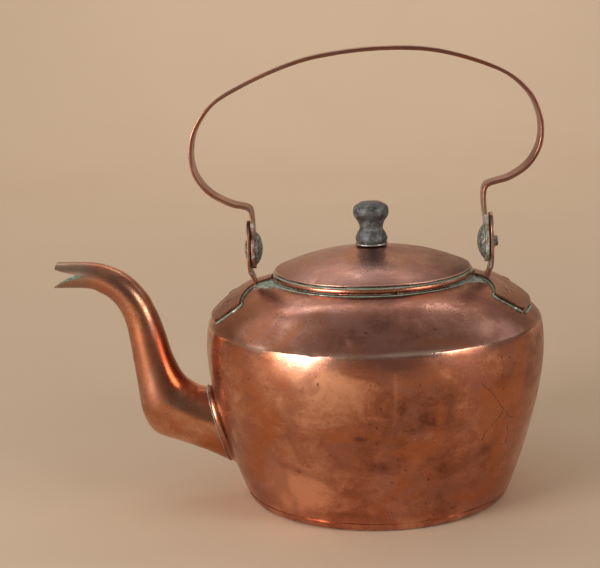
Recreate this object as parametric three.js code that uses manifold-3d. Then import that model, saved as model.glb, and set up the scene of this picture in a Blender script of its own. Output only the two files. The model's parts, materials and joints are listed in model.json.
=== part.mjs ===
// A riveted copper kettle: raised body with a sharp shoulder crease, goose-neck
// spout with a beak tip, lift-off lid with a turned knob, and a strap bail that
// swings on two riveted ears.
// Units are millimetres and +Z is up. The origin is the centre of the underside.
// The spout points to -X, and the bail swings about an axis along X.
import * as THREE from "three";
import { mergeVertices } from "three/addons/utils/BufferGeometryUtils.js";
import Module from "manifold-3d";

const wasm = await Module();
wasm.setup();

// ---- driving dimensions ----------------------------------------------------
const GAP = 0.3;                 // clearance left between touching pieces
const SHEET = 1.2;               // copper sheet of the body, lid and spout
const RING_SEGMENTS = 48;
const SMALL_SEGMENTS = 24;

const BELLY_RADIUS = 100;
const BELLY_HEIGHT = 90;         // height of the widest point
const BELLY_FLARE = 0.01668;     // how fast the wall draws in below the belly
const BELLY_POWER = 1.6;
const BELLY_TUCK = 0.0055;       // how fast it draws in between belly and crease
const CREASE_HEIGHT = 106;
const PAN_HEIGHT = 5;            // height of the seam between base and wall
const PAN_CORNER = 4.5;          // rounding under the edge of the base

const SHOULDER_ARC = 69;         // radius of the shoulder's section
const MOUTH_RADIUS = 56.8;       // edge of the hole in the shoulder
const MOUTH_HEIGHT = 130.6;

const NECK_RADIUS = 56.2;
const NECK_BOTTOM = 127;
const NECK_TOP = 134.5;
const BEAD_RADIUS = 58.9;        // outside of the moulding round the neck
const BEAD_BOTTOM = 131;
const BEAD_TOP = 134.1;

const LID_RADIUS = 57.9;
const LID_EDGE = 134.9;          // underside of the lid's edge
const LID_RISE_FROM = 135.4;
const LID_RISE = 11.3;
const LID_POWER = 2.5;
const CROWN_RISE = 2;            // small raised seat under the knob
const CROWN_RADIUS = 15;
const SKIRT_RADIUS = 53.8;
const SKIRT_BOTTOM = 126.5;
const SKIRT_TOP = 135.6;

const KNOB_BOTTOM = 150.5;
const KNOB_TOP = 174.2;
const KNOB_TOP_RADIUS = 6;
const STUD_RADIUS = 2.2;
const STUD_TOP = 162.5;
const STUD_HEAD_RADIUS = 4.5;
const STUD_HEAD_HEIGHT = 1.7;
const STUD_HEAD_EDGE = 0.8;      // height of the round-off under the stud's head
const BURR_RADIUS = 6.5;
const BURR_THICKNESS = 1.3;
const WASHER_RADIUS = 9.8;
const WASHER_THICKNESS = 1.2;

const SPOUT_SOCKET_HEIGHT = 41.8;   // centre of the oval where the spout joins
const SPOUT_HALF_HEIGHT = 22.8;
const SPOUT_HALF_WIDTH = 17;
const SPOUT_STANDOFF = 4.2;      // distance of the spout seam from the wall
const SPOUT_SIDES = 16;
const SPOUT_STEPS = 19;
const BEAK_CUT_WIDTH = 30;       // width of the blocks that shape the tip, wider than it

const PIN_HEIGHT = 148.7;        // bail hinge axis
const PIN_RADIUS = 2.7;
const STRAP = 2.2;               // bail strap thickness
const STRAP_WIDTH = 16;
const EYE_RADIUS = 12;
const EAR_SHEET = 1.8;
const EAR_BASE_HALF_WIDTH = 6.5;
const EAR_HEAD_RADIUS = 11;
const EAR_ROOT = 110;            // bottom of the ear's sheet before it is trimmed
const EAR_STEM_TOP = 132;        // where the narrow stem starts to widen
const EAR_SWELL = 138;           // height that the widening curve is pulled towards
const EAR_HEAD_FROM = PIN_HEIGHT - 4;   // where the head has its full width
const DOME_RADIUS = 10;
const DOME_HEIGHT = 4;
const TAIL_RADIUS = 3.1;
const FOOT_SHEET = 1.3;
const FOOT_TONGUE = 5.5;         // half width of the tongue that reaches the neck
const FOOT_TONGUE_ROOT = 7.5;    // its half width where it joins the foot
const FOOT_FILLET = 6;           // size of the round corner between tongue and foot
const FOOT_FILLET_PULL = 13;     // distance from the middle that this corner is pulled to
const FOOT_HOOK = 1;             // how far the foot's inner corners stick out
const FOOT_CORNER = { along: 3, across: 2 };   // what is cut off the outer corners

const FOOT_TURN = -3;            // degrees: both feet are set a little askew to the bail

// The two ears are hand-set, so they differ by a few millimetres. `eye` is the bail
// eye's distance from the middle, and `out` is how far the ear's sheet lies beyond it.
const EARS = [
  {
    name: "left", side: -1, eye: 69.4, out: 2.6, top: 165.2, lean: 3.4,
    burr: { size: 11, thickness: 0.8, tail: 0.5 },
    foot: { inner: 75.3, outerRadius: 95, halfWidth: 32, rivetX: 85, rivetY: 15 },
  },
  {
    name: "right", side: 1, eye: 67, out: 2.8, top: 165.9, lean: 2.4,
    burr: { size: 7, thickness: 1.2, tail: 1.4 },
    foot: { inner: 70.3, outerRadius: 91, halfWidth: 32, rivetX: 78, rivetY: 16 },
  },
];

// ---- materials ---------------------------------------------------------------
const finishes = {
  copper: { color: 0x9a5a3c, roughness: 0.38, metalness: 1 },
  copperDark: { color: 0x7c4a38, roughness: 0.45, metalness: 1 },
  solder: { color: 0xa8a49a, roughness: 0.5, metalness: 1 },
  rivetHead: { color: 0x5f6660, roughness: 0.7, metalness: 0.8 },
  knobWood: { color: 0x34353a, roughness: 0.55, metalness: 0 },
};

function named(name, geometry, finish) {
  const mesh = new THREE.Mesh(geometry, new THREE.MeshStandardMaterial(finishes[finish]));
  mesh.name = name;
  return mesh;
}

// ---- solids ------------------------------------------------------------------
function solid(geometry) {
  const bare = geometry.clone();
  bare.deleteAttribute("normal");
  bare.deleteAttribute("uv");
  const merged = mergeVertices(bare, 1e-4);
  const corners = merged.index.array;
  const triangles = [];
  for (let i = 0; i < corners.length; i += 3) {
    const [a, b, c] = [corners[i], corners[i + 1], corners[i + 2]];
    if (a !== b && b !== c && c !== a) triangles.push(a, b, c);
  }
  const vertProperties = new Float32Array(merged.attributes.position.array);
  const triVerts = new Uint32Array(triangles);
  return new wasm.Manifold(new wasm.Mesh({ numProp: 3, vertProperties, triVerts }));
}

function geometryOf(body) {
  const mesh = body.getMesh();
  const geometry = new THREE.BufferGeometry();
  geometry.setAttribute("position", new THREE.BufferAttribute(mesh.vertProperties, 3));
  geometry.setIndex(new THREE.BufferAttribute(mesh.triVerts, 1));
  geometry.computeVertexNormals();
  return geometry;
}

function cut(geometry, ...tools) {
  return geometryOf(tools.reduce((body, tool) => body.subtract(solid(tool)), solid(geometry)));
}

// Turns a closed (radius, height) profile, listed counter-clockwise, about Z.
function turned(profile, segments = RING_SEGMENTS) {
  const geometry = new THREE.LatheGeometry(profile, segments);
  geometry.rotateX(Math.PI / 2);
  return geometryOf(solid(geometry));
}

// Joins rings of equal length, end to end and last to first, into a closed tube.
function closedLoft(rings) {
  const count = rings[0].length;
  const positions = rings.flat().flatMap((point) => point.toArray());
  const index = [];
  rings.forEach((ring, i) => {
    const next = (i + 1) % rings.length;
    for (let j = 0; j < count; j += 1) {
      const k = (j + 1) % count;
      const [a, b, c, d] = [i * count + j, i * count + k, next * count + k, next * count + j];
      index.push(a, c, b, a, d, c);
    }
  });
  const geometry = new THREE.BufferGeometry();
  geometry.setAttribute("position", new THREE.Float32BufferAttribute(positions, 3));
  geometry.setIndex(index);
  return geometryOf(solid(geometry));
}

function cylinder(radius, length, sides = SMALL_SEGMENTS) {
  return new THREE.CylinderGeometry(radius, radius, length, sides);
}

// ---- outlines ----------------------------------------------------------------
const at = (radius, height) => new THREE.Vector2(radius, height);

function steps(count, pointAt) {
  return Array.from({ length: count + 1 }, (_, i) => pointAt(i / count));
}

// Moves each point of an open outline sideways, to its left for a positive distance.
function beside(outline, distance) {
  return outline.map((point, i) => {
    const before = outline[Math.max(i - 1, 0)];
    const after = outline[Math.min(i + 1, outline.length - 1)];
    const along = after.clone().sub(before).normalize();
    return at(point.x - along.y * distance, point.y + along.x * distance);
  });
}

// A sheet whose outside follows an outline listed bottom to top or axis to edge.
function sheetProfile(outside, thickness = SHEET) {
  const inside = beside(outside, thickness).reverse();
  return [...outside, ...inside, outside[0].clone()];
}

function wallRadius(height) {
  if (height > BELLY_HEIGHT) return BELLY_RADIUS - BELLY_TUCK * (height - BELLY_HEIGHT) ** 2;
  return BELLY_RADIUS - BELLY_FLARE * (BELLY_HEIGHT - height) ** BELLY_POWER;
}

const creaseRadius = wallRadius(CREASE_HEIGHT);

// The shoulder's section is one arc from the crease in to the mouth.
const shoulderChord = at(MOUTH_RADIUS - creaseRadius, MOUTH_HEIGHT - CREASE_HEIGHT);
const shoulderHalfTurn = Math.asin(shoulderChord.length() / 2 / SHOULDER_ARC);
const shoulderChordAngle = Math.atan2(shoulderChord.y, shoulderChord.x);

function shoulderPoint(t, offset = 0) {
  const start = shoulderChordAngle - shoulderHalfTurn - Math.PI / 2;
  const centre = at(
    creaseRadius - SHOULDER_ARC * Math.cos(start),
    CREASE_HEIGHT - SHOULDER_ARC * Math.sin(start),
  );
  const angle = start + 2 * shoulderHalfTurn * t;
  const reach = SHOULDER_ARC + offset;
  return at(centre.x + reach * Math.cos(angle), centre.y + reach * Math.sin(angle));
}

function shoulderParameterAt(radius) {
  let [low, high] = [0, 1];
  for (let i = 0; i < 40; i += 1) {
    const middle = (low + high) / 2;
    if (shoulderPoint(middle).x > radius) low = middle;
    else high = middle;
  }
  return low;
}

// ---- body --------------------------------------------------------------------
function spoutOval(angle, spread, standoff) {
  const y = (SPOUT_HALF_WIDTH + spread) * Math.cos(angle);
  const z = SPOUT_SOCKET_HEIGHT + (SPOUT_HALF_HEIGHT + spread) * Math.sin(angle);
  const x = -Math.sqrt((wallRadius(z) + standoff) ** 2 - y ** 2);
  return new THREE.Vector3(x, y, z);
}

function bodyWall() {
  const low = PAN_HEIGHT + GAP / 2;
  const high = CREASE_HEIGHT - GAP / 2;
  const outside = steps(8, (t) => {
    const height = low + (high - low) * t;
    return at(wallRadius(height), height);
  });
  const profile = sheetProfile(outside);
  profile[outside.length].y -= SHEET * 0.4;      // bevel that meets the shoulder
  const hole = new THREE.Shape();
  const clear = SHEET + GAP;
  hole.absellipse(0, 0, SPOUT_HALF_WIDTH - clear, SPOUT_HALF_HEIGHT - clear, 0, 2 * Math.PI);
  const drill = new THREE.ExtrudeGeometry(hole, {
    depth: BELLY_RADIUS, bevelEnabled: false, curveSegments: SPOUT_SIDES,
  });
  drill.rotateX(Math.PI / 2);
  drill.rotateZ(-Math.PI / 2);
  drill.translate(-BELLY_RADIUS / 2, 0, SPOUT_SOCKET_HEIGHT);
  return cut(turned(profile), drill);
}

function basePlate() {
  const edgeHeight = PAN_HEIGHT - GAP / 2;
  const edgeRadius = wallRadius(edgeHeight);
  const corner = new THREE.QuadraticBezierCurve(
    at(edgeRadius - PAN_CORNER, 0),
    at(edgeRadius - PAN_CORNER * 0.3, 0),
    at(edgeRadius, edgeHeight),
  );
  return turned(sheetProfile([at(0, 0), at(edgeRadius * 0.6, 0), ...corner.getPoints(3)]));
}

function shoulder(rivetHoles) {
  const first = GAP / (2 * SHOULDER_ARC * shoulderHalfTurn);
  const outside = steps(5, (t) => shoulderPoint(first + (1 - first) * t));
  const profile = sheetProfile(outside);
  const bevelled = profile[profile.length - 2];
  bevelled.x -= SHEET * 0.2;
  bevelled.y += SHEET * 0.25;
  return cut(turned(profile), ...rivetHoles);
}

function neck() {
  const inner = NECK_RADIUS - SHEET;
  return turned([
    at(inner, NECK_BOTTOM), at(NECK_RADIUS, NECK_BOTTOM),
    at(NECK_RADIUS, NECK_TOP), at(inner, NECK_TOP), at(inner, NECK_BOTTOM),
  ]);
}

function neckBead() {
  const inner = NECK_RADIUS + GAP;
  const half = (BEAD_TOP - BEAD_BOTTOM) / 2;
  const middle = (BEAD_TOP + BEAD_BOTTOM) / 2;
  const bulge = steps(4, (t) => {
    const angle = Math.PI * (t - 0.5);
    return at(BEAD_RADIUS - half + half * Math.cos(angle), middle + half * Math.sin(angle));
  });
  return turned([at(inner, BEAD_BOTTOM), ...bulge, at(inner, BEAD_TOP), at(inner, BEAD_BOTTOM)]);
}

// ---- spout -------------------------------------------------------------------
// The socket is a flared oval ring: each pair is its spread beyond the spout's
// section and its standoff from the wall.
function spoutSocket() {
  const seam = SPOUT_STANDOFF - GAP;
  const flare = [
    [6.5, GAP], [6.5, 0.8], [4, 1.3], [2, 2], [0.6, 3], [0, seam],
    [-SHEET, seam], [-SHEET, GAP],
  ];
  const ring = ([spread, standoff]) => steps(SPOUT_SIDES * 2 - 1, (t) => {
    const angle = t * 2 * Math.PI * (1 - 1 / (SPOUT_SIDES * 2));
    return spoutOval(angle, spread, standoff);
  });
  return closedLoft(flare.map(ring));
}

// The spout's section is an oval between an upper and a lower rail, listed as
// [upper x, upper z, lower x, lower z, half width], from the body to the tip.
const SPOUT_RAILS = [
  [-106.7, 66.2, -103.3, 26, 16.6],
  [-111.9, 69.6, -119.6, 32.2, 16],
  [-115.5, 73.6, -133.8, 38, 15.4],
  [-118.6, 79.6, -140.8, 50.2, 14.4],
  [-121.8, 88.4, -143.4, 71.1, 12.6],
  [-125, 100, -145.7, 90.4, 11.2],
  [-128.9, 112, -147.9, 105.2, 10.3],
  [-133.8, 122.5, -151.6, 114.6, 9.9],
  [-141.6, 132.1, -156.3, 120.8, 9.4],
  [-151.9, 139.1, -162.2, 124.7, 8.9],
  [-166.1, 143.2, -169.5, 127.6, 8.4],
  [-188.6, 144, -189.2, 128.4, 8.2],
];

function spoutRing(upper, lower, halfWidth, inset) {
  const centre = upper.clone().add(lower).multiplyScalar(0.5);
  const rise = upper.clone().sub(centre);
  rise.setLength(rise.length() - inset);
  return steps(SPOUT_SIDES - 1, (t) => {
    const angle = t * 2 * Math.PI * (1 - 1 / SPOUT_SIDES);
    const point = centre.clone().addScaledVector(rise, Math.sin(angle));
    point.y = (halfWidth - inset) * Math.cos(angle);
    return point;
  });
}

function spout() {
  const rail = (i) => new THREE.CatmullRomCurve3(
    SPOUT_RAILS.map((row) => new THREE.Vector3(row[i], 0, row[i + 1])), false, "catmullrom", 0.5,
  );
  const upper = rail(0);
  const lower = rail(2);
  const width = new THREE.SplineCurve(SPOUT_RAILS.map((row, i) => at(i, row[4])));
  const seamRing = (inset) => steps(SPOUT_SIDES - 1, (t) => {
    const angle = t * 2 * Math.PI * (1 - 1 / SPOUT_SIDES);
    return spoutOval(angle, -inset, SPOUT_STANDOFF);
  });
  const skin = (inset) => [
    seamRing(inset),
    ...steps(SPOUT_STEPS, (t) => (
      spoutRing(upper.getPoint(t), lower.getPoint(t), width.getPoint(t).y, inset)
    )),
  ];
  const tube = closedLoft([...skin(0), ...skin(SHEET).reverse()]);
  return cut(tube, beakMouth(), beakTop());
}

// A wedge out of both sides of the tip leaves an upper and a lower jaw.
function beakMouth() {
  const mouth = new THREE.Shape([
    at(-168.7, 136.2), at(-178.8, 134.1), at(-184.7, 131.6), at(-188.6, 129.5),
    at(-192, 129), at(-192, 141), at(-186.6, 140.4), at(-182.7, 139.2), at(-176.9, 137.8),
  ]);
  return acrossY(mouth, BEAK_CUT_WIDTH);
}

// The upper jaw ends in a rounded point, set back from the lower one.
function beakTop() {
  const trim = new THREE.Shape();
  trim.moveTo(-186.9, 138.8);
  trim.quadraticCurveTo(-188.2, 143.3, -185, 145.8);
  trim.lineTo(-194, 145.8);
  trim.lineTo(-194, 138.8);
  return acrossY(trim, BEAK_CUT_WIDTH);
}

// Extrudes a shape drawn in (x, z) along Y, centred on Y = 0.
function acrossY(shape, depth, curveSegments = 12) {
  const geometry = new THREE.ExtrudeGeometry(shape, { depth, bevelEnabled: false, curveSegments });
  geometry.rotateX(Math.PI / 2);
  geometry.translate(0, depth / 2, 0);
  return geometry;
}

// ---- lid ---------------------------------------------------------------------
function lidHeight(radius) {
  const dome = LID_RISE * (1 - (radius / LID_RADIUS) ** LID_POWER);
  return LID_RISE_FROM + dome + CROWN_RISE * Math.exp(-((radius / CROWN_RADIUS) ** 4));
}

const lidTop = lidHeight(0);

function lidDome() {
  const hole = STUD_RADIUS + GAP;
  const crown = steps(8, (t) => {
    const radius = LID_RADIUS - (LID_RADIUS - hole) * t;
    return at(radius, lidHeight(radius));
  });
  const underside = beside(crown, SHEET).reverse();
  const lip = underside.length - 1;
  underside[lip] = at(LID_RADIUS - SHEET, LID_EDGE);
  return turned([at(LID_RADIUS, LID_EDGE), ...crown, ...underside, at(LID_RADIUS, LID_EDGE)]);
}

function lidSkirt() {
  const inner = SKIRT_RADIUS - SHEET;
  return turned([
    at(inner, SKIRT_BOTTOM), at(SKIRT_RADIUS, SKIRT_BOTTOM),
    at(SKIRT_RADIUS, SKIRT_TOP), at(inner, SKIRT_TOP), at(inner, SKIRT_BOTTOM),
  ]);
}

function knob() {
  const bore = STUD_RADIUS + GAP;
  const swell = new THREE.SplineCurve([
    at(9.1, KNOB_BOTTOM), at(9.6, 152.8), at(8.7, 155.6), at(7.1, 158.7), at(8, 162.6),
    at(10.1, 165.7), at(10.7, 168.7), at(9.8, 171.7), at(KNOB_TOP_RADIUS, KNOB_TOP),
  ]);
  return turned([
    at(bore, KNOB_BOTTOM), ...swell.getPoints(12), at(0, KNOB_TOP),
    at(0, STUD_TOP + GAP), at(bore, STUD_TOP + GAP), at(bore, KNOB_BOTTOM),
  ], SMALL_SEGMENTS);
}

function washer(inner, outer, bottom, thickness, segments = SMALL_SEGMENTS) {
  const top = bottom + thickness;
  const edge = outer - thickness * 0.25;
  return turned([
    at(inner, bottom), at(outer, bottom), at(edge, top), at(inner, top), at(inner, bottom),
  ], segments);
}

const burrBottom = lidHeight(BURR_RADIUS) - SHEET - GAP - BURR_THICKNESS;

function knobStud() {
  const headTop = burrBottom - GAP;
  const headBottom = headTop - STUD_HEAD_HEIGHT;
  return turned([
    at(0, headBottom), at(STUD_HEAD_RADIUS * 0.7, headBottom),
    at(STUD_HEAD_RADIUS, headBottom + STUD_HEAD_EDGE), at(STUD_HEAD_RADIUS, headTop),
    at(STUD_RADIUS, headTop), at(STUD_RADIUS, STUD_TOP), at(0, STUD_TOP),
  ], SMALL_SEGMENTS);
}

// ---- bail --------------------------------------------------------------------
const [leftEar, rightEar] = EARS;

// Centre line of the bent strap, in (x, z), from the left eye round to the right.
const BAIL_LINE = [
  at(-leftEar.eye, PIN_HEIGHT), at(-leftEar.eye, 158), at(-69.7, 168.8),
  at(-71, 172.5), at(-74.6, 174.1), at(-81.4, 175.8), at(-92.4, 181.8), at(-99, 188.9),
  at(-102.8, 197.3), at(-103.4, 208.6), at(-99.9, 220.8), at(-89.7, 234.1), at(-72.2, 244.1),
  at(-49.1, 253.7), at(-26.3, 259.6), at(7.6, 262.6), at(41, 260.1), at(74.7, 248.9),
  at(91.3, 236.1), at(98, 222.5), at(99, 210.5), at(96.6, 201.3), at(90.5, 192.7),
  at(81, 186.6), at(73.5, 184.4), at(69.3, 183.3), at(66.7, 181.4), at(65.7, 177.2),
  at(65.9, 168.5), at(rightEar.eye, 159.5), at(rightEar.eye, PIN_HEIGHT),
];

function bail() {
  const line = new THREE.SplineCurve(BAIL_LINE).getPoints(BAIL_LINE.length * 3);
  const edge = [...beside(line, STRAP / 2), ...beside(line, -STRAP / 2).reverse()];
  const strap = acrossY(new THREE.Shape(edge), STRAP_WIDTH);
  const eyes = EARS.map((ear) => alongPin(cylinder(EYE_RADIUS, STRAP), ear, 0));
  const holes = EARS.map((ear) => alongPin(cylinder(PIN_RADIUS + GAP, 3 * STRAP), ear, 0));
  const whole = eyes.reduce((body, eye) => body.add(solid(eye)), solid(strap));
  return geometryOf(holes.reduce((body, hole) => body.subtract(solid(hole)), whole));
}

// Turns a piece made about Y onto the hinge pin, `out` beyond the eye's centre.
function alongPin(geometry, ear, out) {
  geometry.rotateZ(-ear.side * Math.PI / 2);
  geometry.translate(ear.side * (ear.eye + out), 0, PIN_HEIGHT);
  return geometry;
}

// ---- ears --------------------------------------------------------------------
const burrFrom = (ear) => ear.out + EAR_SHEET / 2 + GAP;

// The ear's bend, from its root up: the share of its lean that is left at each height.
const EAR_BEND = [[1, 120], [0.9, 127], [0.4, 132.5], [0, 136.5], [0, 152]];

// The bent ear, seen from the side, as a strip of sheet.
function earStrip(ear) {
  const upright = ear.eye + ear.out;
  const bend = EAR_BEND.map(([share, height]) => at(upright - ear.lean * share, height));
  const line = new THREE.SplineCurve([...bend, at(upright, ear.top)]).getPoints(15);
  const edge = [...beside(line, EAR_SHEET / 2), ...beside(line, -EAR_SHEET / 2).reverse()];
  const strip = new THREE.Shape(edge.map((point) => at(ear.side * point.x, point.y)));
  return acrossY(strip, 2 * EAR_HEAD_RADIUS + 4);
}

// The ear, seen along the pin: a narrow stem that widens to a round head.
function earFace(ear) {
  const face = new THREE.Shape();
  const headCentre = ear.top - EAR_HEAD_RADIUS;
  face.moveTo(-EAR_BASE_HALF_WIDTH, EAR_ROOT);
  face.lineTo(EAR_BASE_HALF_WIDTH, EAR_ROOT);
  face.lineTo(EAR_BASE_HALF_WIDTH, EAR_STEM_TOP);
  face.quadraticCurveTo(EAR_HEAD_RADIUS, EAR_SWELL, EAR_HEAD_RADIUS, EAR_HEAD_FROM);
  face.lineTo(EAR_HEAD_RADIUS, headCentre);
  face.absarc(0, headCentre, EAR_HEAD_RADIUS, 0, Math.PI, false);
  face.lineTo(-EAR_HEAD_RADIUS, EAR_HEAD_FROM);
  face.quadraticCurveTo(-EAR_HEAD_RADIUS, EAR_SWELL, -EAR_BASE_HALF_WIDTH, EAR_STEM_TOP);
  const depth = 2 * BELLY_RADIUS;
  const geometry = new THREE.ExtrudeGeometry(face, { depth, bevelEnabled: false, curveSegments: 8 });
  geometry.rotateX(Math.PI / 2);
  geometry.rotateZ(Math.PI / 2);
  geometry.translate(ear.side > 0 ? 0 : -depth, 0, 0);
  return geometry;
}

// The foot's plan: a tongue to the neck, a waist, and a wide end on the shoulder.
function footPlan({ side, foot }) {
  const start = BEAD_RADIUS + 2 * GAP;
  const { inner, outerRadius, halfWidth } = foot;
  const corner = Math.asin((halfWidth - FOOT_CORNER.across) / outerRadius);
  const outer = outerRadius * Math.cos(corner) - FOOT_CORNER.along;
  const root = at(inner - FOOT_FILLET, FOOT_TONGUE_ROOT);
  const pull = at(inner - 1, FOOT_FILLET_PULL);
  const edge = at(inner, halfWidth - FOOT_FILLET);
  const hook = at(inner - FOOT_HOOK / 2, halfWidth + FOOT_HOOK);
  const plan = new THREE.Shape();
  plan.moveTo(start, -FOOT_TONGUE);
  plan.lineTo(root.x, -root.y);
  plan.quadraticCurveTo(pull.x, -pull.y, edge.x, -edge.y);
  plan.lineTo(hook.x, -hook.y);
  plan.lineTo(outer, -halfWidth);
  plan.absarc(0, 0, outerRadius, -corner, corner, false);
  plan.lineTo(outer, halfWidth);
  plan.lineTo(hook.x, hook.y);
  plan.lineTo(edge.x, edge.y);
  plan.quadraticCurveTo(pull.x, pull.y, root.x, root.y);
  plan.lineTo(start, FOOT_TONGUE);
  const geometry = new THREE.ExtrudeGeometry(plan, {
    depth: CREASE_HEIGHT, bevelEnabled: false, curveSegments: 8,
  });
  geometry.rotateZ(THREE.MathUtils.degToRad(FOOT_TURN) + (side < 0 ? Math.PI : 0));
  geometry.translate(0, 0, CREASE_HEIGHT / 2);
  return geometry;
}

// A skin that lies over the shoulder, or, from the axis, everything under it.
function shoulderSkin(low, high) {
  const upper = steps(6, (t) => shoulderPoint(t, high));
  const lower = steps(6, (t) => shoulderPoint(t, low)).reverse();
  return turned([...upper, ...lower, upper[0].clone()]);
}

function underShoulder(height) {
  const top = steps(6, (t) => shoulderPoint(t, height));
  return turned([at(0, 0), at(top[0].x, 0), ...top, at(0, top[top.length - 1].y)]);
}

function ear(spec, rivetHoles) {
  const upright = solid(earStrip(spec)).intersect(solid(earFace(spec)));
  const foot = solid(shoulderSkin(GAP, GAP + FOOT_SHEET)).intersect(solid(footPlan(spec)));
  const pinHole = alongPin(cylinder(PIN_RADIUS + GAP, 3 * EAR_SHEET), spec, spec.out);
  let whole = upright.subtract(solid(underShoulder(GAP))).add(foot);
  [pinHole, ...rivetHoles].forEach((hole) => {
    whole = whole.subtract(solid(hole));
  });
  return geometryOf(whole);
}

// ---- rivets ------------------------------------------------------------------
// A lathe-turned rivet, made about Y: dome on the lid side, tail past the burr.
function bailRivet(ear) {
  const domeBase = -STRAP / 2 - GAP;
  const domeRound = (DOME_RADIUS ** 2 + DOME_HEIGHT ** 2) / (2 * DOME_HEIGHT);
  const domeAngle = Math.asin(DOME_RADIUS / domeRound);
  const dome = steps(6, (t) => {
    const angle = domeAngle * t;
    const depth = domeRound * (1 - Math.cos(angle));
    return at(domeRound * Math.sin(angle), domeBase - DOME_HEIGHT + depth);
  });
  const tailFrom = burrFrom(ear) + ear.burr.thickness + GAP;
  const profile = [
    ...dome, at(PIN_RADIUS, domeBase), at(PIN_RADIUS, tailFrom), at(TAIL_RADIUS + 0.4, tailFrom),
    at(TAIL_RADIUS, tailFrom + ear.burr.tail), at(0, tailFrom + ear.burr.tail),
  ];
  const rivet = new THREE.LatheGeometry(profile, SMALL_SEGMENTS);
  return alongPin(geometryOf(solid(rivet)), ear, 0);
}

function squareBurr(ear) {
  const { size, thickness } = ear.burr;
  const plate = new THREE.BoxGeometry(size, thickness, size);
  const hole = cylinder(PIN_RADIUS + GAP / 2, 2 * thickness);
  return alongPin(cut(plate, hole), ear, burrFrom(ear) + thickness / 2);
}

// `crown` is the share of its radius that the top of the head keeps, at the share
// `brow` of its height.
const FOOT_RIVET = {
  shank: 1.6, head: 3.4, headHeight: 0.7, clench: 3.2, clenchHeight: 0.8, crown: 0.7, brow: 0.75,
};

// Sets a piece made about Y on the shoulder, its Y axis square to the sheet.
function onShoulder(geometry, x, y) {
  const radius = Math.hypot(x, y);
  const t = shoulderParameterAt(radius);
  const foot = shoulderPoint(t);
  const normal = shoulderPoint(t, 1).sub(foot);
  geometry.rotateZ(Math.atan2(normal.y, normal.x) - Math.PI / 2);
  geometry.rotateX(Math.PI / 2);
  geometry.translate(foot.x, 0, foot.y);
  geometry.rotateZ(Math.atan2(y, x));
  return geometry;
}

function footRivet(x, y) {
  const headFrom = 2 * GAP + FOOT_SHEET;
  const clenchTo = -SHEET - 2 * GAP;
  const { shank, head, headHeight, clench, clenchHeight, crown, brow } = FOOT_RIVET;
  const profile = [
    at(0, clenchTo - clenchHeight), at(clench * crown, clenchTo - clenchHeight),
    at(clench, clenchTo), at(shank, clenchTo), at(shank, headFrom), at(head, headFrom),
    at(head * crown, headFrom + headHeight * brow), at(0, headFrom + headHeight),
  ];
  const rivet = geometryOf(solid(new THREE.LatheGeometry(profile, 16)));
  return onShoulder(rivet, x, y);
}

function footRivetHole(x, y) {
  return onShoulder(cylinder(FOOT_RIVET.shank + GAP, 12, 16), x, y);
}

function footRivetPlaces({ side, foot }) {
  const turn = THREE.MathUtils.degToRad(FOOT_TURN);
  return [["front", -1], ["back", 1]].map(([where, sign]) => {
    const place = at(side * foot.rivetX, sign * foot.rivetY).rotateAround(at(0, 0), turn);
    return { where, x: place.x, y: place.y };
  });
}

// ---- assembly ----------------------------------------------------------------
const rivetHolesOf = (spec) => footRivetPlaces(spec).map(({ x, y }) => footRivetHole(x, y));

const bodyGroup = new THREE.Group();
bodyGroup.add(
  named("base_plate", basePlate(), "copper"),
  named("body_wall", bodyWall(), "copper"),
  named("shoulder", shoulder(EARS.flatMap(rivetHolesOf)), "copperDark"),
  named("neck", neck(), "copper"),
  named("neck_bead", neckBead(), "copper"),
  named("spout_socket", spoutSocket(), "copper"),
  named("spout", spout(), "copper"),
);
EARS.forEach((spec) => {
  bodyGroup.add(
    named(`ear_${spec.name}`, ear(spec, rivetHolesOf(spec)), "copperDark"),
    named(`bail_rivet_${spec.name}`, bailRivet(spec), "rivetHead"),
    named(`bail_burr_${spec.name}`, squareBurr(spec), "rivetHead"),
  );
  footRivetPlaces(spec).forEach(({ where, x, y }) => {
    bodyGroup.add(named(`foot_rivet_${spec.name}_${where}`, footRivet(x, y), "copperDark"));
  });
});

const lidGroup = new THREE.Group();
const shankHole = STUD_RADIUS + GAP;
lidGroup.add(
  named("lid_dome", lidDome(), "copperDark"),
  named("lid_skirt", lidSkirt(), "copper"),
  named("knob", knob(), "knobWood"),
  named("knob_washer", washer(shankHole, WASHER_RADIUS, lidTop + GAP, WASHER_THICKNESS), "solder"),
  named("knob_stud", knobStud(), "copper"),
  named("knob_burr", washer(shankHole, BURR_RADIUS, burrBottom, BURR_THICKNESS), "copper"),
);

const bailGroup = new THREE.Group();
bailGroup.add(named("bail", bail(), "copperDark"));

const kettle = new THREE.Group();
kettle.add(bodyGroup, lidGroup, bailGroup);

export default kettle;
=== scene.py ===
# An old hand-worked copper kettle on a pale floor in soft studio light.
# Lengths are millimetres in the CAD frame (+Z up, spout towards -X) until a mesh is made.
import json
import math

import bmesh
import bpy
import numpy as np
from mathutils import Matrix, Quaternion, Vector, noise


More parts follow.
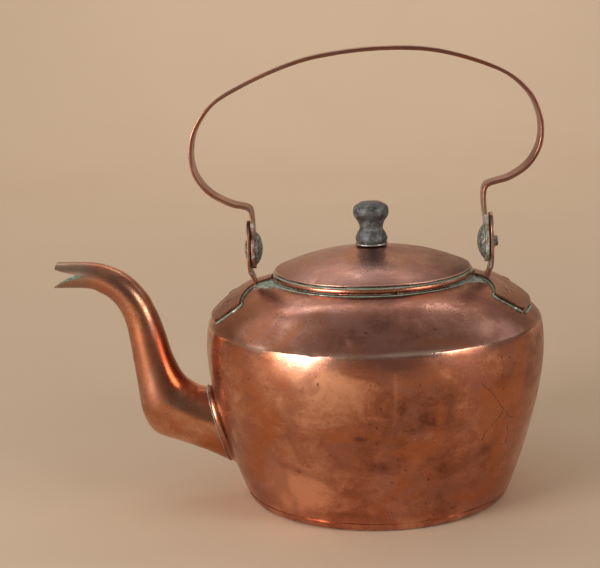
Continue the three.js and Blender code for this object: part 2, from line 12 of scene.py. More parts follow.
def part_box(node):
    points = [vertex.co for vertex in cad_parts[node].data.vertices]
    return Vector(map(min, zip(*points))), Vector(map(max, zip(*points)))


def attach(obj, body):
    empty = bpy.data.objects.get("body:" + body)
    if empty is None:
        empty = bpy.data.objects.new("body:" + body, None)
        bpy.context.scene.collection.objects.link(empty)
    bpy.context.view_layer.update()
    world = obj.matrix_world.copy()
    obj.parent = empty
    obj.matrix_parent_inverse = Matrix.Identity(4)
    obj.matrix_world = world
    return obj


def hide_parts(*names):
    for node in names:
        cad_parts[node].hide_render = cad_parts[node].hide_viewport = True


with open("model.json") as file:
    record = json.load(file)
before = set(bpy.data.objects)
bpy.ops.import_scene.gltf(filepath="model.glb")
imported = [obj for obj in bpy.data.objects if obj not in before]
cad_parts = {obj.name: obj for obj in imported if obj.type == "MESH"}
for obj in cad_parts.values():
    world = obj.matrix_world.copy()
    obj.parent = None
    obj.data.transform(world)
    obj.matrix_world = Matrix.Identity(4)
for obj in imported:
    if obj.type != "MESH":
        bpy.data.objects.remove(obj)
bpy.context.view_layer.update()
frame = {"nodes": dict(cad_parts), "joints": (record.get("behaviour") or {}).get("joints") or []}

MM = 0.001
GAP = 0.3                    # clearance between touching pieces
SHEET = 1.2                  # copper sheet of the body, lid and spout
ROUND = 288                  # steps round the body
SMALL_ROUND = 96             # steps round the knob
HAIRLINE = 0.05              # gap left where two sheets meet


# ---- measures read from the frame ----
def node_box(node):
    low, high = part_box(node)
    return np.array(low) / MM, np.array(high) / MM


PIN_HEIGHT = frame["joints"][0]["pos_m"][2] / MM
PAN_SEAM = node_box("body_wall")[0][2] - GAP / 2
CREASE_HEIGHT = node_box("body_wall")[1][2] + GAP / 2
MOUTH_HEIGHT = node_box("shoulder")[1][2]
NECK_BOTTOM = node_box("neck")[0][2]
NECK_RADIUS, _, NECK_TOP = node_box("neck")[1]
BEAD_BOTTOM = node_box("neck_bead")[0][2]
BEAD_RADIUS, _, BEAD_TOP = node_box("neck_bead")[1]
LID_EDGE = node_box("lid_dome")[0][2]
LID_RADIUS = node_box("lid_dome")[1][0]
SKIRT_BOTTOM = node_box("lid_skirt")[0][2]
SKIRT_RADIUS, _, SKIRT_TOP = node_box("lid_skirt")[1]
KNOB_BOTTOM = node_box("knob")[0][2]
KNOB_TOP = node_box("knob")[1][2]

# The outlines repeat the CAD part's own driving dimensions.
BELLY_RADIUS = 100
BELLY_HEIGHT = 90
BELLY_FLARE = 0.01668
BELLY_POWER = 1.6
BELLY_TUCK = 0.0055
PAN_CORNER = 4.5
CREASE_ROUND = 2.6             # rounding of the shoulder crease
SHOULDER_ARC = 69
MOUTH_RADIUS = 56.8
LID_RISE_FROM = 135.4
LID_RISE = 11.3
LID_POWER = 2.5
CROWN_RISE = 2
CROWN_RADIUS = 15


# ---- meshes ----
def new_object(name, points, faces, materials=()):
    mesh = bpy.data.meshes.new(name)
    mesh.from_pydata([tuple(p) for p in np.asarray(points) * MM], [], faces)
    for material in materials:
        mesh.materials.append(material)
    made = bpy.data.objects.new(name, mesh)
    bpy.context.scene.collection.objects.link(made)
    return made


# Merges corners that coincide and turns every face outwards.
def mend(mesh):
    shape = bmesh.new()
    shape.from_mesh(mesh)
    bmesh.ops.remove_doubles(shape, verts=shape.verts, dist=1e-7)
    bmesh.ops.recalc_face_normals(shape, faces=shape.faces)
    shape.to_mesh(mesh)
    shape.free()


# A piece that rides on a body. Faces from `lined_from` on take the second material.
def mesh_piece(name, points, faces, materials, body, smooth_angle=40, lined_from=None):
    piece = new_object(name, points, faces, materials)
    if lined_from:
        for face in piece.data.polygons[lined_from:]:
            face.material_index = 1
    mend(piece.data)
    piece.data.shade_smooth()
    piece.data.set_sharp_from_angle(angle=math.radians(smooth_angle))
    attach(piece, body)
    return piece


# Faces between rings of equal length. The ends are capped, or join each other.
def ring_faces(rows, columns, capped):
    faces = []
    for i in range(rows - 1 if capped else rows):
        for j in range(columns):
            a = i * columns + j
            b = i * columns + (j + 1) % columns
            c = (i + 1) % rows * columns + (j + 1) % columns
            d = (i + 1) % rows * columns + j
            faces.append((a, b, c, d))
    if capped:
        faces.append(tuple(range(columns)))
        faces.append(tuple(range((rows - 1) * columns, rows * columns)))
    return faces


def lofted(name, rings, materials, body, capped=False, **options):
    rings = np.asarray(rings, float)
    faces = ring_faces(*rings.shape[:2], capped)
    return mesh_piece(name, rings.reshape(-1, 3), faces, materials, body, **options)


def around(count):
    return np.linspace(0, 2 * math.pi, count, endpoint=False)


# Turns a (radius, height) profile about Z into one ring for each of its points.
def turned_rings(profile, segments=ROUND):
    angle = around(segments)
    profile = np.asarray(profile, float)
    return np.stack([
        np.outer(profile[:, 0], np.cos(angle)),
        np.outer(profile[:, 0], np.sin(angle)),
        np.outer(profile[:, 1], np.ones(segments)),
    ], axis=2)


def outline_normals(outline):
    along = np.gradient(outline, axis=0)
    along /= np.linalg.norm(along, axis=1)[:, None]
    return np.stack([along[:, 1], -along[:, 0]], axis=1)


# A round sheet whose outside follows an outline, pressed inwards by depth(x, y, z). Its
# inside has the second material.
def worked_sheet(name, outline, depth, materials, body, normals=None, thickness=SHEET):
    outline = np.asarray(outline, float)
    if normals is None:
        normals = outline_normals(outline)
    outside = turned_rings(outline)
    outward = turned_rings(normals)
    pressed = np.apply_along_axis(lambda p: depth(*p), 2, outside)[:, :, None]
    outside = outside - outward * pressed
    inside = outside - outward * np.broadcast_to(thickness, len(outline))[:, None, None]
    return lofted(name, np.concatenate([outside, inside[::-1]]), materials, body,
                  lined_from=len(outline) * ROUND)


# Points along a smooth curve through the given ones.
def spline(points, count):
    points = np.asarray(points, float)
    first = 2 * points[0] - points[1]
    last = 2 * points[-1] - points[-2]
    knots = np.vstack([first, points, last])
    result = []
    for t in np.linspace(0, len(points) - 1, count):
        i = min(int(t), len(points) - 2)
        f = t - i
        a, b, c, d = knots[i:i + 4]
        result.append(0.5 * (2 * b + (c - a) * f + (2 * a - 5 * b + 4 * c - d) * f ** 2
                             + (3 * b - a - 3 * c + d) * f ** 3))
    return np.array(result)


# The point at t on a quadratic curve that is pulled towards its middle point.
def bezier(start, pull, end, t):
    return (1 - t) ** 2 * start + 2 * t * (1 - t) * pull + t * t * end


def arc_points(centre, radius, start, end, count):
    return [(centre[0] + radius * math.cos(a), centre[1] + radius * math.sin(a))
            for a in np.linspace(start, end, count)]


def smoothstep(low, high, value):
    t = min(max((value - low) / (high - low), 0), 1)
    return t * t * (3 - 2 * t)


# Noise between 0 and 1 with features about `size` millimetres across.
def cloud(x, y, z, size, seed=0):
    return 0.5 + 0.5 * noise.noise(Vector((x / size + seed, y / size, z / size)))


# Draws the points farther than `beyond` from the axis inwards by a wandering share.
def wavered(rings, share, size, seed, beyond=0):
    for point in rings.reshape(-1, 3):
        if math.hypot(point[0], point[1]) > beyond:
            point[:2] *= 1 - share * cloud(*point, size, seed)
    return rings


# ---- materials ----
# Builds a shader: each method adds a node and returns its output socket.
class Shader:
    def __init__(self, name):
        self.material = bpy.data.materials.new(name)
        self.material.use_nodes = True
        self.tree = self.material.node_tree
        self.surface = self.tree.nodes["Principled BSDF"]
        self.place = self.add("ShaderNodeTexCoord").outputs["Object"]

    def add(self, kind, settings=None, **inputs):
        node = self.tree.nodes.new(kind)
        for key, value in (settings or {}).items():
            setattr(node, key, value)
        for key, value in inputs.items():
            self.join(node.inputs[key.replace("_", " ")], value)
        return node

    def join(self, socket, value):
        if isinstance(value, bpy.types.NodeSocket):
            self.tree.links.new(value, socket)
        else:
            socket.default_value = value

    # Noise with features about `size` millimetres across.
    def noise(self, size, detail=4, roughness=0.55, distortion=0.0, place=None):
        node = self.add("ShaderNodeTexNoise", Vector=place or self.place, Scale=1 / (size * MM),
                        Detail=detail, Roughness=roughness, Distortion=distortion)
        return node.outputs["Fac"]

    def stretched(self, x, y, z):
        node = self.add("ShaderNodeMapping", Vector=self.place, Scale=(x, y, z))
        return node.outputs["Vector"]

    def product(self, a, b, added=0.0):
        node = self.add("ShaderNodeMath", {"operation": "MULTIPLY_ADD"})
        for socket, value in zip(node.inputs, (a, b, added)):
            self.join(socket, value)
        return node.outputs[0]

    # The sum of (value, weight) pairs.
    def weighed(self, parts):
        total = 0.0
        for value, weight in parts:
            total = self.product(value, weight, total)
        return total

    # Goes smoothly from to_low to to_high as the value goes from low to high.
    def between(self, value, low, high, to_low=0.0, to_high=1.0):
        node = self.add("ShaderNodeMapRange", {"interpolation_type": "SMOOTHSTEP"}, Value=value,
                        From_Min=low, From_Max=high, To_Min=to_low, To_Max=to_high)
        return node.outputs["Result"]

    def ramp(self, value, stops):
        node = self.add("ShaderNodeValToRGB", Fac=value)
        elements = node.color_ramp.elements
        while len(elements) < len(stops):
            elements.new(1)
        for element, (position, colour) in zip(elements, stops):
            element.position = position
            element.color = (*colour, 1)
        return node.outputs["Color"]

    def mix(self, amount, a, b):
        node = self.add("ShaderNodeMix", {"data_type": "RGBA"})
        for index, value in ((0, amount), (6, a), (7, b)):
            if isinstance(value, tuple):
                value = (*value, 1)
            self.join(node.inputs[index], value)
        return node.outputs[2]

    def attribute(self, name):
        return self.add("ShaderNodeAttribute", {"attribute_name": name}).outputs["Fac"]

    def bump(self, height, distance, normal=None):
        node = self.add("ShaderNodeBump", Strength=1.0, Distance=distance * MM, Height=height)
        if normal:
            self.join(node.inputs["Normal"], normal)
        return node.outputs["Normal"]

    def finish(self, **inputs):
        for key, value in inputs.items():
            if isinstance(value, tuple):
                value = (*value, 1)
            self.join(self.surface.inputs[key.replace("_", " ")], value)
        return self.material


VERDIGRIS = (0.23, 0.30, 0.21)
CRUST = (0.46, 0.46, 0.40)
CRUST_DIRT = (0.10, 0.085, 0.06)
PATINA = (0.30, 0.225, 0.165)
# The colour of worn bare copper, also used for painted highlights.
BARE_AND_HIGHLIGHT = (0.95, 0.66, 0.51)
SPECK = (0.045, 0.025, 0.02)
HOLLOW = (0.05, 0.045, 0.04)


# Copper with clouds of tarnish, dark specks, rubbing marks and, where the mesh's attributes say so,
# stains mixed with painted light and shade, bright worn places mixed with painted highlights, tan patina
# and a crust of verdigris.
def copper(name, light, middle, dark, rough, clouding=1.0):
    s = Shader(name)
    broad = s.noise(60, detail=3, distortion=0.6)
    clouds = s.noise(24, detail=7, roughness=0.62, distortion=0.8)
    smears = s.noise(16, detail=6, roughness=0.6, distortion=1.2, place=s.stretched(0.7, 0.7, 1.2))
    fine = s.noise(1.6, detail=4)
    rubbed = s.noise(9, detail=4, roughness=0.7, place=s.stretched(1, 1, 16))
    worn = s.attribute("worn")
    noises = [(clouds, 0.38 * clouding), (broad, 0.30), (smears, 0.34 * clouding), (fine, 0.16),
              (rubbed, 0.05)]
    # The stain attribute darkens or lightens the tone. It holds real stains together with painted
    # reflections, highlights and shade.
    tone = s.weighed([*noises, (s.attribute("stain"), -0.13), (worn, 0.12)])
    centre = 0.5 * sum(weight for _, weight in noises)
    colour = s.ramp(tone, [(centre - 0.20, dark), (centre - 0.02, middle), (centre + 0.15, light)])

    purple = tuple(0.80 * c + 0.05 * w for c, w in zip(middle, (1.0, 0.8, 1.0)))
    blush = s.between(s.noise(34, detail=5, distortion=0.8), 0.45, 0.60, 0, 0.6)
    colour = s.mix(blush, colour, purple)
    orange = (middle[0] * 1.12, middle[1] * 0.92, middle[2] * 0.55)
    ember = s.between(s.noise(45, detail=4, distortion=1.0), 0.52, 0.66, 0, 0.6)
    colour = s.mix(ember, colour, orange)
    # Worn places, and the painted highlights on the crease and the lid's rim, take the bare colour.
    bare_and_highlight = s.product(s.between(worn, 0.3, 1.0, 0, 0.6), s.between(broad, 0.44, 0.60, 0.1, 1))
    colour = s.mix(bare_and_highlight, colour, BARE_AND_HIGHLIGHT)
    speckled = s.product(s.between(s.noise(30, detail=2), 0.48, 0.6), 0.7)
    specks = s.product(s.between(s.noise(2.4, detail=2), 0.66, 0.72), speckled)
    colour = s.mix(specks, colour, SPECK)
    patina = s.product(s.attribute("patina"), s.between(clouds, 0.3, 0.6, 0.6, 1.0))
    colour = s.mix(patina, colour, PATINA)

    crust_edge = s.weighed([(s.attribute("crust"), 1.0), (s.noise(3.5, detail=6, roughness=0.65), 0.9)])
    crust = s.between(crust_edge, 0.88, 1.02)
    crust_colour = s.mix(s.between(s.noise(5, detail=4), 0.44, 0.6), CRUST, VERDIGRIS)
    crust_dirt = s.between(s.noise(2, detail=4), 0.5, 0.62, 0, 0.6)
    colour = s.mix(crust, colour, s.mix(crust_dirt, crust_colour, CRUST_DIRT))

    roughness = s.between(tone, centre - 0.14, centre + 0.12, rough + 0.10, rough - 0.05)
    roughness = s.weighed([(roughness, 1.0), (rubbed, 0.05), (patina, 0.14), (crust, 0.45)])
    metallic = s.between(crust, 0, 1, 1.0, 0.1)
    normal = s.bump(rubbed, 0.02, s.bump(fine, 0.03))
    normal = s.bump(s.product(crust, s.noise(1.2)), 0.5, normal)
    return s.finish(Base_Color=colour, Roughness=roughness, Metallic=metallic, Normal=normal)


# Tin lining, dulled to a warm grey.
def tinned(name):
    s = Shader(name)
    clouds = s.noise(18, detail=5)
    fine = s.noise(1.5)
    tones = [(0.3, (0.16, 0.13, 0.11)), (0.6, (0.34, 0.32, 0.29)), (0.8, (0.30, 0.22, 0.16))]
    roughness = s.between(clouds, 0.3, 0.7, 0.6, 0.42)
    return s.finish(Base_Color=s.ramp(clouds, tones), Roughness=roughness, Metallic=0.9,
                    Normal=s.bump(fine, 0.08))


# Lumpy soft solder with a `share` of verdigris and dirt in its hollows.
def solder(name, grey, green, share):
    s = Shader(name)
    patches = s.noise(5, detail=4)
    fine = s.noise(0.9, detail=3)
    green_share = s.between(patches, 0.62 - share * 0.4, 0.72 - share * 0.4)
    colour = s.mix(green_share, grey, green)
    colour = s.mix(s.between(fine, 0.35, 0.6, 0.55, 0), colour, HOLLOW)
    roughness = s.between(green_share, 0, 1, 0.42, 0.85)
    metallic = s.between(green_share, 0, 1, 0.75, 0.0)
    return s.finish(Base_Color=colour, Roughness=roughness, Metallic=metallic,
                    Normal=s.bump(fine, 0.25))


# Pitted grey-green iron.
def old_iron(name):
    s = Shader(name)
    pits = s.noise(1.6, detail=5, roughness=0.7)
    patches = s.noise(6, detail=3)
    tones = [(0.34, (0.04, 0.036, 0.03)), (0.5, (0.19, 0.18, 0.15)), (0.66, (0.46, 0.44, 0.37))]
    colour = s.mix(s.between(patches, 0.5, 0.62, 0, 0.4), s.ramp(pits, tones), (0.22, 0.26, 0.20))
    return s.finish(Base_Color=colour, Roughness=s.between(pits, 0.3, 0.7, 0.8, 0.45), Metallic=0.65,
                    Normal=s.bump(pits, 0.35))


# Black-stained turned wood, worn grey on its high places.
def stained_wood(name):
    s = Shader(name)
    grain = s.noise(1.5, detail=5, place=s.stretched(1, 1, 0.28), distortion=0.5)
    mottle = s.noise(4.2, detail=5, roughness=0.65)
    tones = [(0.34, (0.018, 0.017, 0.017)), (0.54, (0.062, 0.06, 0.06)), (0.72, (0.20, 0.197, 0.193))]
    colour = s.mix(s.between(grain, 0.54, 0.7, 0, 0.5), s.ramp(mottle, tones), (0.22, 0.21, 0.20))
    return s.finish(Base_Color=colour, Roughness=s.between(mottle, 0.3, 0.7, 0.34, 0.55),
                    Normal=s.bump(grain, 0.12, s.bump(mottle, 0.15)), Specular_IOR_Level=0.6)


# Dull tin with fine marks.
def pewter(name):
    s = Shader(name)
    marks = s.noise(1.2, detail=4)
    colour = s.ramp(marks, [(0.3, (0.16, 0.14, 0.12)), (0.6, (0.50, 0.48, 0.45))])
    return s.finish(Base_Color=colour, Roughness=s.between(marks, 0.3, 0.7, 0.5, 0.34), Metallic=0.9,
                    Normal=s.bump(marks, 0.08))


# Each copper is given its brightest, middle and darkest tone.
WALL = copper("wall_copper", (0.82, 0.43, 0.29), (0.46, 0.178, 0.104), (0.16, 0.056, 0.034), 0.22)
SHOULDER = copper("shoulder_copper", (0.64, 0.34, 0.25), (0.37, 0.155, 0.105), (0.17, 0.07, 0.050), 0.26)
LID = copper("lid_copper", (0.51, 0.27, 0.21), (0.34, 0.165, 0.128), (0.15, 0.073, 0.055), 0.29, 0.9)
SPOUT = copper("spout_copper", (0.74, 0.40, 0.26), (0.44, 0.170, 0.090), (0.20, 0.075, 0.045), 0.25)
STRAP = copper("strap_copper", (0.52, 0.27, 0.19), (0.30, 0.125, 0.086), (0.11, 0.042, 0.030), 0.30)
EAR = copper("ear_copper", (0.52, 0.30, 0.23), (0.34, 0.165, 0.125), (0.10, 0.050, 0.038), 0.36)
TRIM = copper("trim_copper", (0.80, 0.43, 0.30), (0.50, 0.20, 0.120), (0.17, 0.062, 0.038), 0.22)
TIN = tinned("tin_lining")
SOLDER = solder("grey_solder", (0.46, 0.45, 0.42), VERDIGRIS, 0.15)
GREEN_SOLDER = solder("verdigris", (0.60, 0.61, 0.54), VERDIGRIS, 0.6)
# A dark lumpy finish for the cracks, and for the painted shadow in the gaps beside the ears' feet.
TARNISH_AND_SHADOW = solder("dark_tarnish_and_shadow", (0.10, 0.045, 0.028), (0.06, 0.032, 0.022), 0.5)
IRON = old_iron("old_iron")
WOOD = stained_wood("stained_wood")
PEWTER = pewter("pewter_ring")


# ---- outlines ----
def wall_radius(height):
    if height > BELLY_HEIGHT:
        return BELLY_RADIUS - BELLY_TUCK * (height - BELLY_HEIGHT) ** 2
    return BELLY_RADIUS - BELLY_FLARE * (BELLY_HEIGHT - height) ** BELLY_POWER


CREASE_RADIUS = wall_radius(CREASE_HEIGHT)
ARC_CHORD = np.array([MOUTH_RADIUS - CREASE_RADIUS, MOUTH_HEIGHT - CREASE_HEIGHT])
ARC_HALF_TURN = math.asin(np.linalg.norm(ARC_CHORD) / 2 / SHOULDER_ARC)
ARC_START = math.atan2(ARC_CHORD[1], ARC_CHORD[0]) - ARC_HALF_TURN - math.pi / 2
ARC_CENTRE = np.array([CREASE_RADIUS - SHOULDER_ARC * math.cos(ARC_START),
                       CREASE_HEIGHT - SHOULDER_ARC * math.sin(ARC_START)])


# The (radius, height) `above` the shoulder's skin, square to it at a given radius.
def over_shoulder(radius, above=0.0):
    angle = math.acos(min(1, (radius - ARC_CENTRE[0]) / SHOULDER_ARC))
    reach = SHOULDER_ARC + above
    return ARC_CENTRE + reach * np.array([math.cos(angle), math.sin(angle)])


# The crease is a small arc tangent to the wall and to the shoulder. The wall has its
# lower half and the shoulder its upper half.
CREASE_MIDDLE = 5
CREASE_STEPS = 2 * CREASE_MIDDLE + 1


def crease_arc():
    low = math.atan(2 * BELLY_TUCK * (CREASE_HEIGHT - BELLY_HEIGHT))
    corner = np.array([CREASE_RADIUS, CREASE_HEIGHT])
    reach = CREASE_ROUND / math.cos((ARC_START - low) / 2)
    middle = (low + ARC_START) / 2
    centre = corner - reach * np.array([math.cos(middle), math.sin(middle)])
    angles = np.linspace(low, ARC_START, CREASE_STEPS)
    normals = np.stack([np.cos(angles), np.sin(angles)], axis=1)
    return centre + CREASE_ROUND * normals, normals


# ---- how the body has been knocked about ----
# Each dent is (degrees round from +X, height, reach, depth).
DENTS = [
    (-100.5, 112.3, 2.4, 1.3), (-101.5, 112.5, 7, 0.3), (-110.3, 106.2, 1.6, 0.55),
    (-80, 106, 9, 0.45), (-71, 104, 7, 0.3), (-124, 60, 14, 0.5), (-116, 5.5, 3.5, 0.5),
    (-64, 84, 10, 0.35), (-52, 42, 16, 0.5), (-95, 30, 18, 0.4), (20, 60, 20, 0.7),
    (75, 90, 12, 0.6), (120, 40, 16, 0.6), (64, 112, 8, 0.5), (150, 75, 14, 0.4),
]


def dent_centre(degrees, height):
    radius = wall_radius(height) if height < CREASE_HEIGHT else over_radius(height)
    angle = math.radians(degrees)
    return radius * math.cos(angle), radius * math.sin(angle), height


def over_radius(height):
    return ARC_CENTRE[0] + math.sqrt(SHOULDER_ARC ** 2 - (height - ARC_CENTRE[1]) ** 2)


DENT_CENTRES = [(*dent_centre(a, h), reach, depth) for a, h, reach, depth in DENTS]
DENT_END = 6                 # (distance / reach) squared where a dent has faded out
STILL_ROUND = (1.6, 2.3)     # the wall is true up to the first of these ovals round the spout
CREASE_WEAR, CREASE_SPREAD = 0.25, 1.8
SEAM_WEAR, SEAM_SPREAD = 0.5, 2.2
FAINT = 0.01


# A hump of height 1 at `middle`, wholly faded out where it is lower than `least`.
def hump(value, middle, spread, least=0):
    height = math.exp(-((value - middle) / spread) ** 2)
    return height if height > least else 0


def seam_wear(x, y, z):
    return cloud(x, y, z, 6, 11) ** 2


def body_depth(x, y, z):
    depth = 0.45 * cloud(x, y, z, 42) + 0.12 * cloud(x, y, z, 13, 7)
    if x < 0:
        from_oval = math.hypot(y / SPOUT_HALF_WIDTH, (z - SPOUT_CENTRE) / SPOUT_HALF_HEIGHT)
        depth *= smoothstep(*STILL_ROUND, from_oval)
    for cx, cy, cz, reach, deep in DENT_CENTRES:
        away = ((x - cx) ** 2 + (y - cy) ** 2 + (z - cz) ** 2) / reach ** 2
        if away < DENT_END:
            depth += deep * math.exp(-away)
    depth += CREASE_WEAR * hump(z, CREASE_HEIGHT, CREASE_SPREAD, FAINT) * cloud(x, y, z, 5, 3)
    depth += SEAM_WEAR * hump(z, PAN_SEAM, SEAM_SPREAD, FAINT) * seam_wear(x, y, z)
    return depth


# ---- body ----
def body_wall():
    arc, arc_normals = crease_arc()
    fine_up_to = PAN_SEAM + 8
    heights = np.concatenate([
        np.linspace(PAN_SEAM + HAIRLINE, fine_up_to, 12, endpoint=False),
        np.linspace(fine_up_to, arc[0][1], 84, endpoint=False),
    ])
    outline = np.array([(wall_radius(h), h) for h in heights])
    normals = outline_normals(np.vstack([outline, arc[:1]]))[:-1]
    normals = np.vstack([normals, arc_normals[:CREASE_MIDDLE + 1]])
    outline = np.vstack([outline, arc[:CREASE_MIDDLE + 1]])
    piece = worked_sheet("wall", outline, body_depth, [WALL, TIN], "kettle", normals)
    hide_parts("body_wall")
    spout_hole(piece)
    return piece


def shoulder():
    arc, arc_normals = crease_arc()
    radii = np.linspace(arc[-1][0], MOUTH_RADIUS, 46)[1:]
    outline = np.array([over_shoulder(r) for r in radii])
    centred = outline - ARC_CENTRE
    normals = centred / np.linalg.norm(centred, axis=1)[:, None]
    outline = np.vstack([arc[CREASE_MIDDLE:], outline])
    normals = np.vstack([arc_normals[CREASE_MIDDLE:], normals])
    piece = worked_sheet("shoulder_dome", outline, body_depth, [SHOULDER, TIN], "kettle", normals)
    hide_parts("shoulder")
    return piece


def base_pan():
    edge = wall_radius(PAN_SEAM)
    corner = [np.array([edge - PAN_CORNER, 0]), np.array([edge - PAN_CORNER * 0.3, 0]),
              np.array([edge, PAN_SEAM - HAIRLINE])]
    turned_up = [bezier(*corner, t) for t in np.linspace(0, 1, 9)]
    flat = [np.array([r, 0.0]) for r in np.linspace(0, edge - PAN_CORNER, 30, endpoint=False)]

    def depth(x, y, z):
        lifted = z > 0.01
        return 0.3 * cloud(x, y, z, 30) * lifted + 0.45 * seam_wear(x, y, z) * smoothstep(0, 4, z)

    piece = worked_sheet("base_pan", np.array(flat + turned_up), depth, [WALL, TIN], "kettle")
    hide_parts("base_plate")


def neck():
    half = SHEET / 2
    lip = arc_points((NECK_RADIUS - half, NECK_TOP - half), half, 0, math.pi, 7)
    profile = [(NECK_RADIUS - SHEET, NECK_BOTTOM), (NECK_RADIUS, NECK_BOTTOM), *lip]
    piece = lofted("neck_ring", turned_rings(profile), [TRIM], "kettle")
    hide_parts("neck")
    return piece


def neck_bead():
    half = (BEAD_TOP - BEAD_BOTTOM) / 2
    middle = (BEAD_TOP + BEAD_BOTTOM) / 2
    bulge = arc_points((BEAD_RADIUS - half, middle), half, -math.pi / 2, math.pi / 2, 13)
    inner = NECK_RADIUS + HAIRLINE
    rings = turned_rings([(inner, BEAD_BOTTOM), *bulge, (inner, BEAD_TOP)])
    piece = lofted("bead", wavered(rings, 0.004, 16, 5), [TRIM], "kettle")
    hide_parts("neck_bead")
    return piece


def bead_crust(x, y, z):
    return 0.6 * smoothstep(BEAD_TOP - 0.5, BEAD_TOP - 0.15, z)


# ---- spout ----
SPOUT_CENTRE = 41.8          # height of the oval where the spout joins
SPOUT_HALF_HEIGHT = 22.8
SPOUT_HALF_WIDTH = 17
SPOUT_STANDOFF = 4.2
SPOUT_FLARE = 9              # how far the body's flare runs out from the oval
SPOUT_AROUND = 72

# [upper x, upper z, lower x, lower z, half width] from the body to the tip.
SPOUT_RAILS = [
    [-106.7, 66.2, -103.3, 26, 16.6],
    [-111.9, 69.6, -119.6, 32.2, 16],
    [-115.5, 73.6, -133.8, 38, 15.4],
    [-118.6, 79.6, -140.8, 50.2, 14.4],
    [-121.8, 88.4, -143.4, 71.1, 12.6],
    [-125, 100, -145.7, 90.4, 11.2],
    [-128.9, 112, -147.9, 105.2, 10.3],
    [-133.8, 122.5, -151.6, 114.6, 9.9],
    [-141.6, 132.1, -156.3, 120.8, 9.4],
    [-151.9, 139.1, -162.2, 124.7, 8.9],
    [-166.1, 143.2, -169.5, 127.6, 8.4],
    [-188.6, 144, -189.2, 128.4, 8.2],
]


# A point on the oval where the spout joins the wall, widened by `spread`.
def spout_oval(angle, spread, standoff):
    y = (SPOUT_HALF_WIDTH + spread) * math.cos(angle)
    z = SPOUT_CENTRE + (SPOUT_HALF_HEIGHT + spread) * math.sin(angle)
    return np.array([-math.sqrt((wall_radius(z) + standoff) ** 2 - y ** 2), y, z])


def spout_ring(row, inset):
    upper_x, upper_z, lower_x, lower_z, half_width = row
    upper = np.array([upper_x, 0, upper_z])
    centre = (upper + np.array([lower_x, 0, lower_z])) / 2
    rise = upper - centre
    reach = np.linalg.norm(rise)
    ring = []
    for angle in around(SPOUT_AROUND):
        point = centre + rise / reach * (reach - inset) * math.sin(angle)
        point[1] = (half_width - inset) * math.cos(angle)
        away = point - centre
        ring.append(point - away / np.linalg.norm(away) * (0.25 * cloud(*point, 16, 21)))
    return ring


def spout_skin(inset):
    seam = [spout_oval(a, -inset, SPOUT_STANDOFF) for a in around(SPOUT_AROUND)]
    return [seam] + [spout_ring(row, inset) for row in spline(SPOUT_RAILS, 110)]


# A solid between two rings, to cut pieces with.
def cutter_of(name, rings):
    rings = np.asarray(rings, float)
    cutter = new_object(name, rings.reshape(-1, 3), ring_faces(*rings.shape[:2], True))
    mend(cutter.data)
    return cutter


def cut_away(piece, cutters):
    for cutter in cutters:
        modifier = piece.modifiers.new("cut", "BOOLEAN")
        modifier.operation = "DIFFERENCE"
        modifier.solver = "EXACT"
        modifier.object = cutter
    graph = bpy.context.evaluated_depsgraph_get()
    result = bpy.data.meshes.new_from_object(piece.evaluated_get(graph))
    piece.modifiers.clear()
    piece.data = result
    for cutter in cutters:
        bpy.data.objects.remove(cutter)


# A wedge out of the tip leaves two jaws, and a second cut rounds the upper one.
def beak_cutters():
    lower_lip = spline([(-168.7, 136.2), (-178.8, 134.1), (-184.7, 131.6), (-188.6, 129.5)], 16)
    upper_lip = spline([(-186.6, 140.4), (-182.7, 139.2), (-176.9, 137.8), (-168.9, 136.3)], 14)
    mouth = [*lower_lip, (-192, 128.8), (-192, 141), *upper_lip]
    tip = [(-186.9, 138.8), (-187.4, 140.9), (-187.2, 142.8), (-186.3, 144.5), (-185, 145.8),
           (-194, 145.8), (-194, 138.8)]
    return [cutter_of(name, [[(x, side, z) for x, z in outline] for side in (-15, 15)])
            for name, outline in (("beak_mouth", mouth), ("beak_tip", tip))]


def spout():
    outer, inner = spout_skin(0), spout_skin(SHEET)
    piece = lofted("goose_neck", outer + inner[::-1], [SPOUT, GREEN_SOLDER], "kettle", smooth_angle=50,
                   lined_from=len(outer) * SPOUT_AROUND)
    cut_away(piece, beak_cutters())
    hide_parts("spout")
    return piece


# The oval hole through the wall that the spout pours from.
def spout_hole(wall):
    spread = -SHEET - 0.1
    through = (-4, 3)
    rings = [[spout_oval(a, spread, off) for a in around(SPOUT_AROUND)] for off in through]
    cut_away(wall, [cutter_of("spout_hole", rings)])


# The flare runs out into the wall and is closed just under the wall's skin.
def spout_socket():
    rim = SPOUT_STANDOFF - GAP
    under_skin, skirt = -0.6, 4.5
    flare = [(SPOUT_FLARE * (1 - t) ** 2, rim * t ** 2 - 0.02) for t in np.linspace(0, 1, 18)]
    flare += [(0, rim), (-SHEET, rim), (-SHEET, under_skin), (skirt, under_skin)]
    rings = [[spout_oval(a, spread, off) for a in around(SPOUT_AROUND)] for spread, off in flare]
    piece = lofted("spout_flange", rings, [WALL], "kettle", smooth_angle=60)
    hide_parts("spout_socket")
    return piece


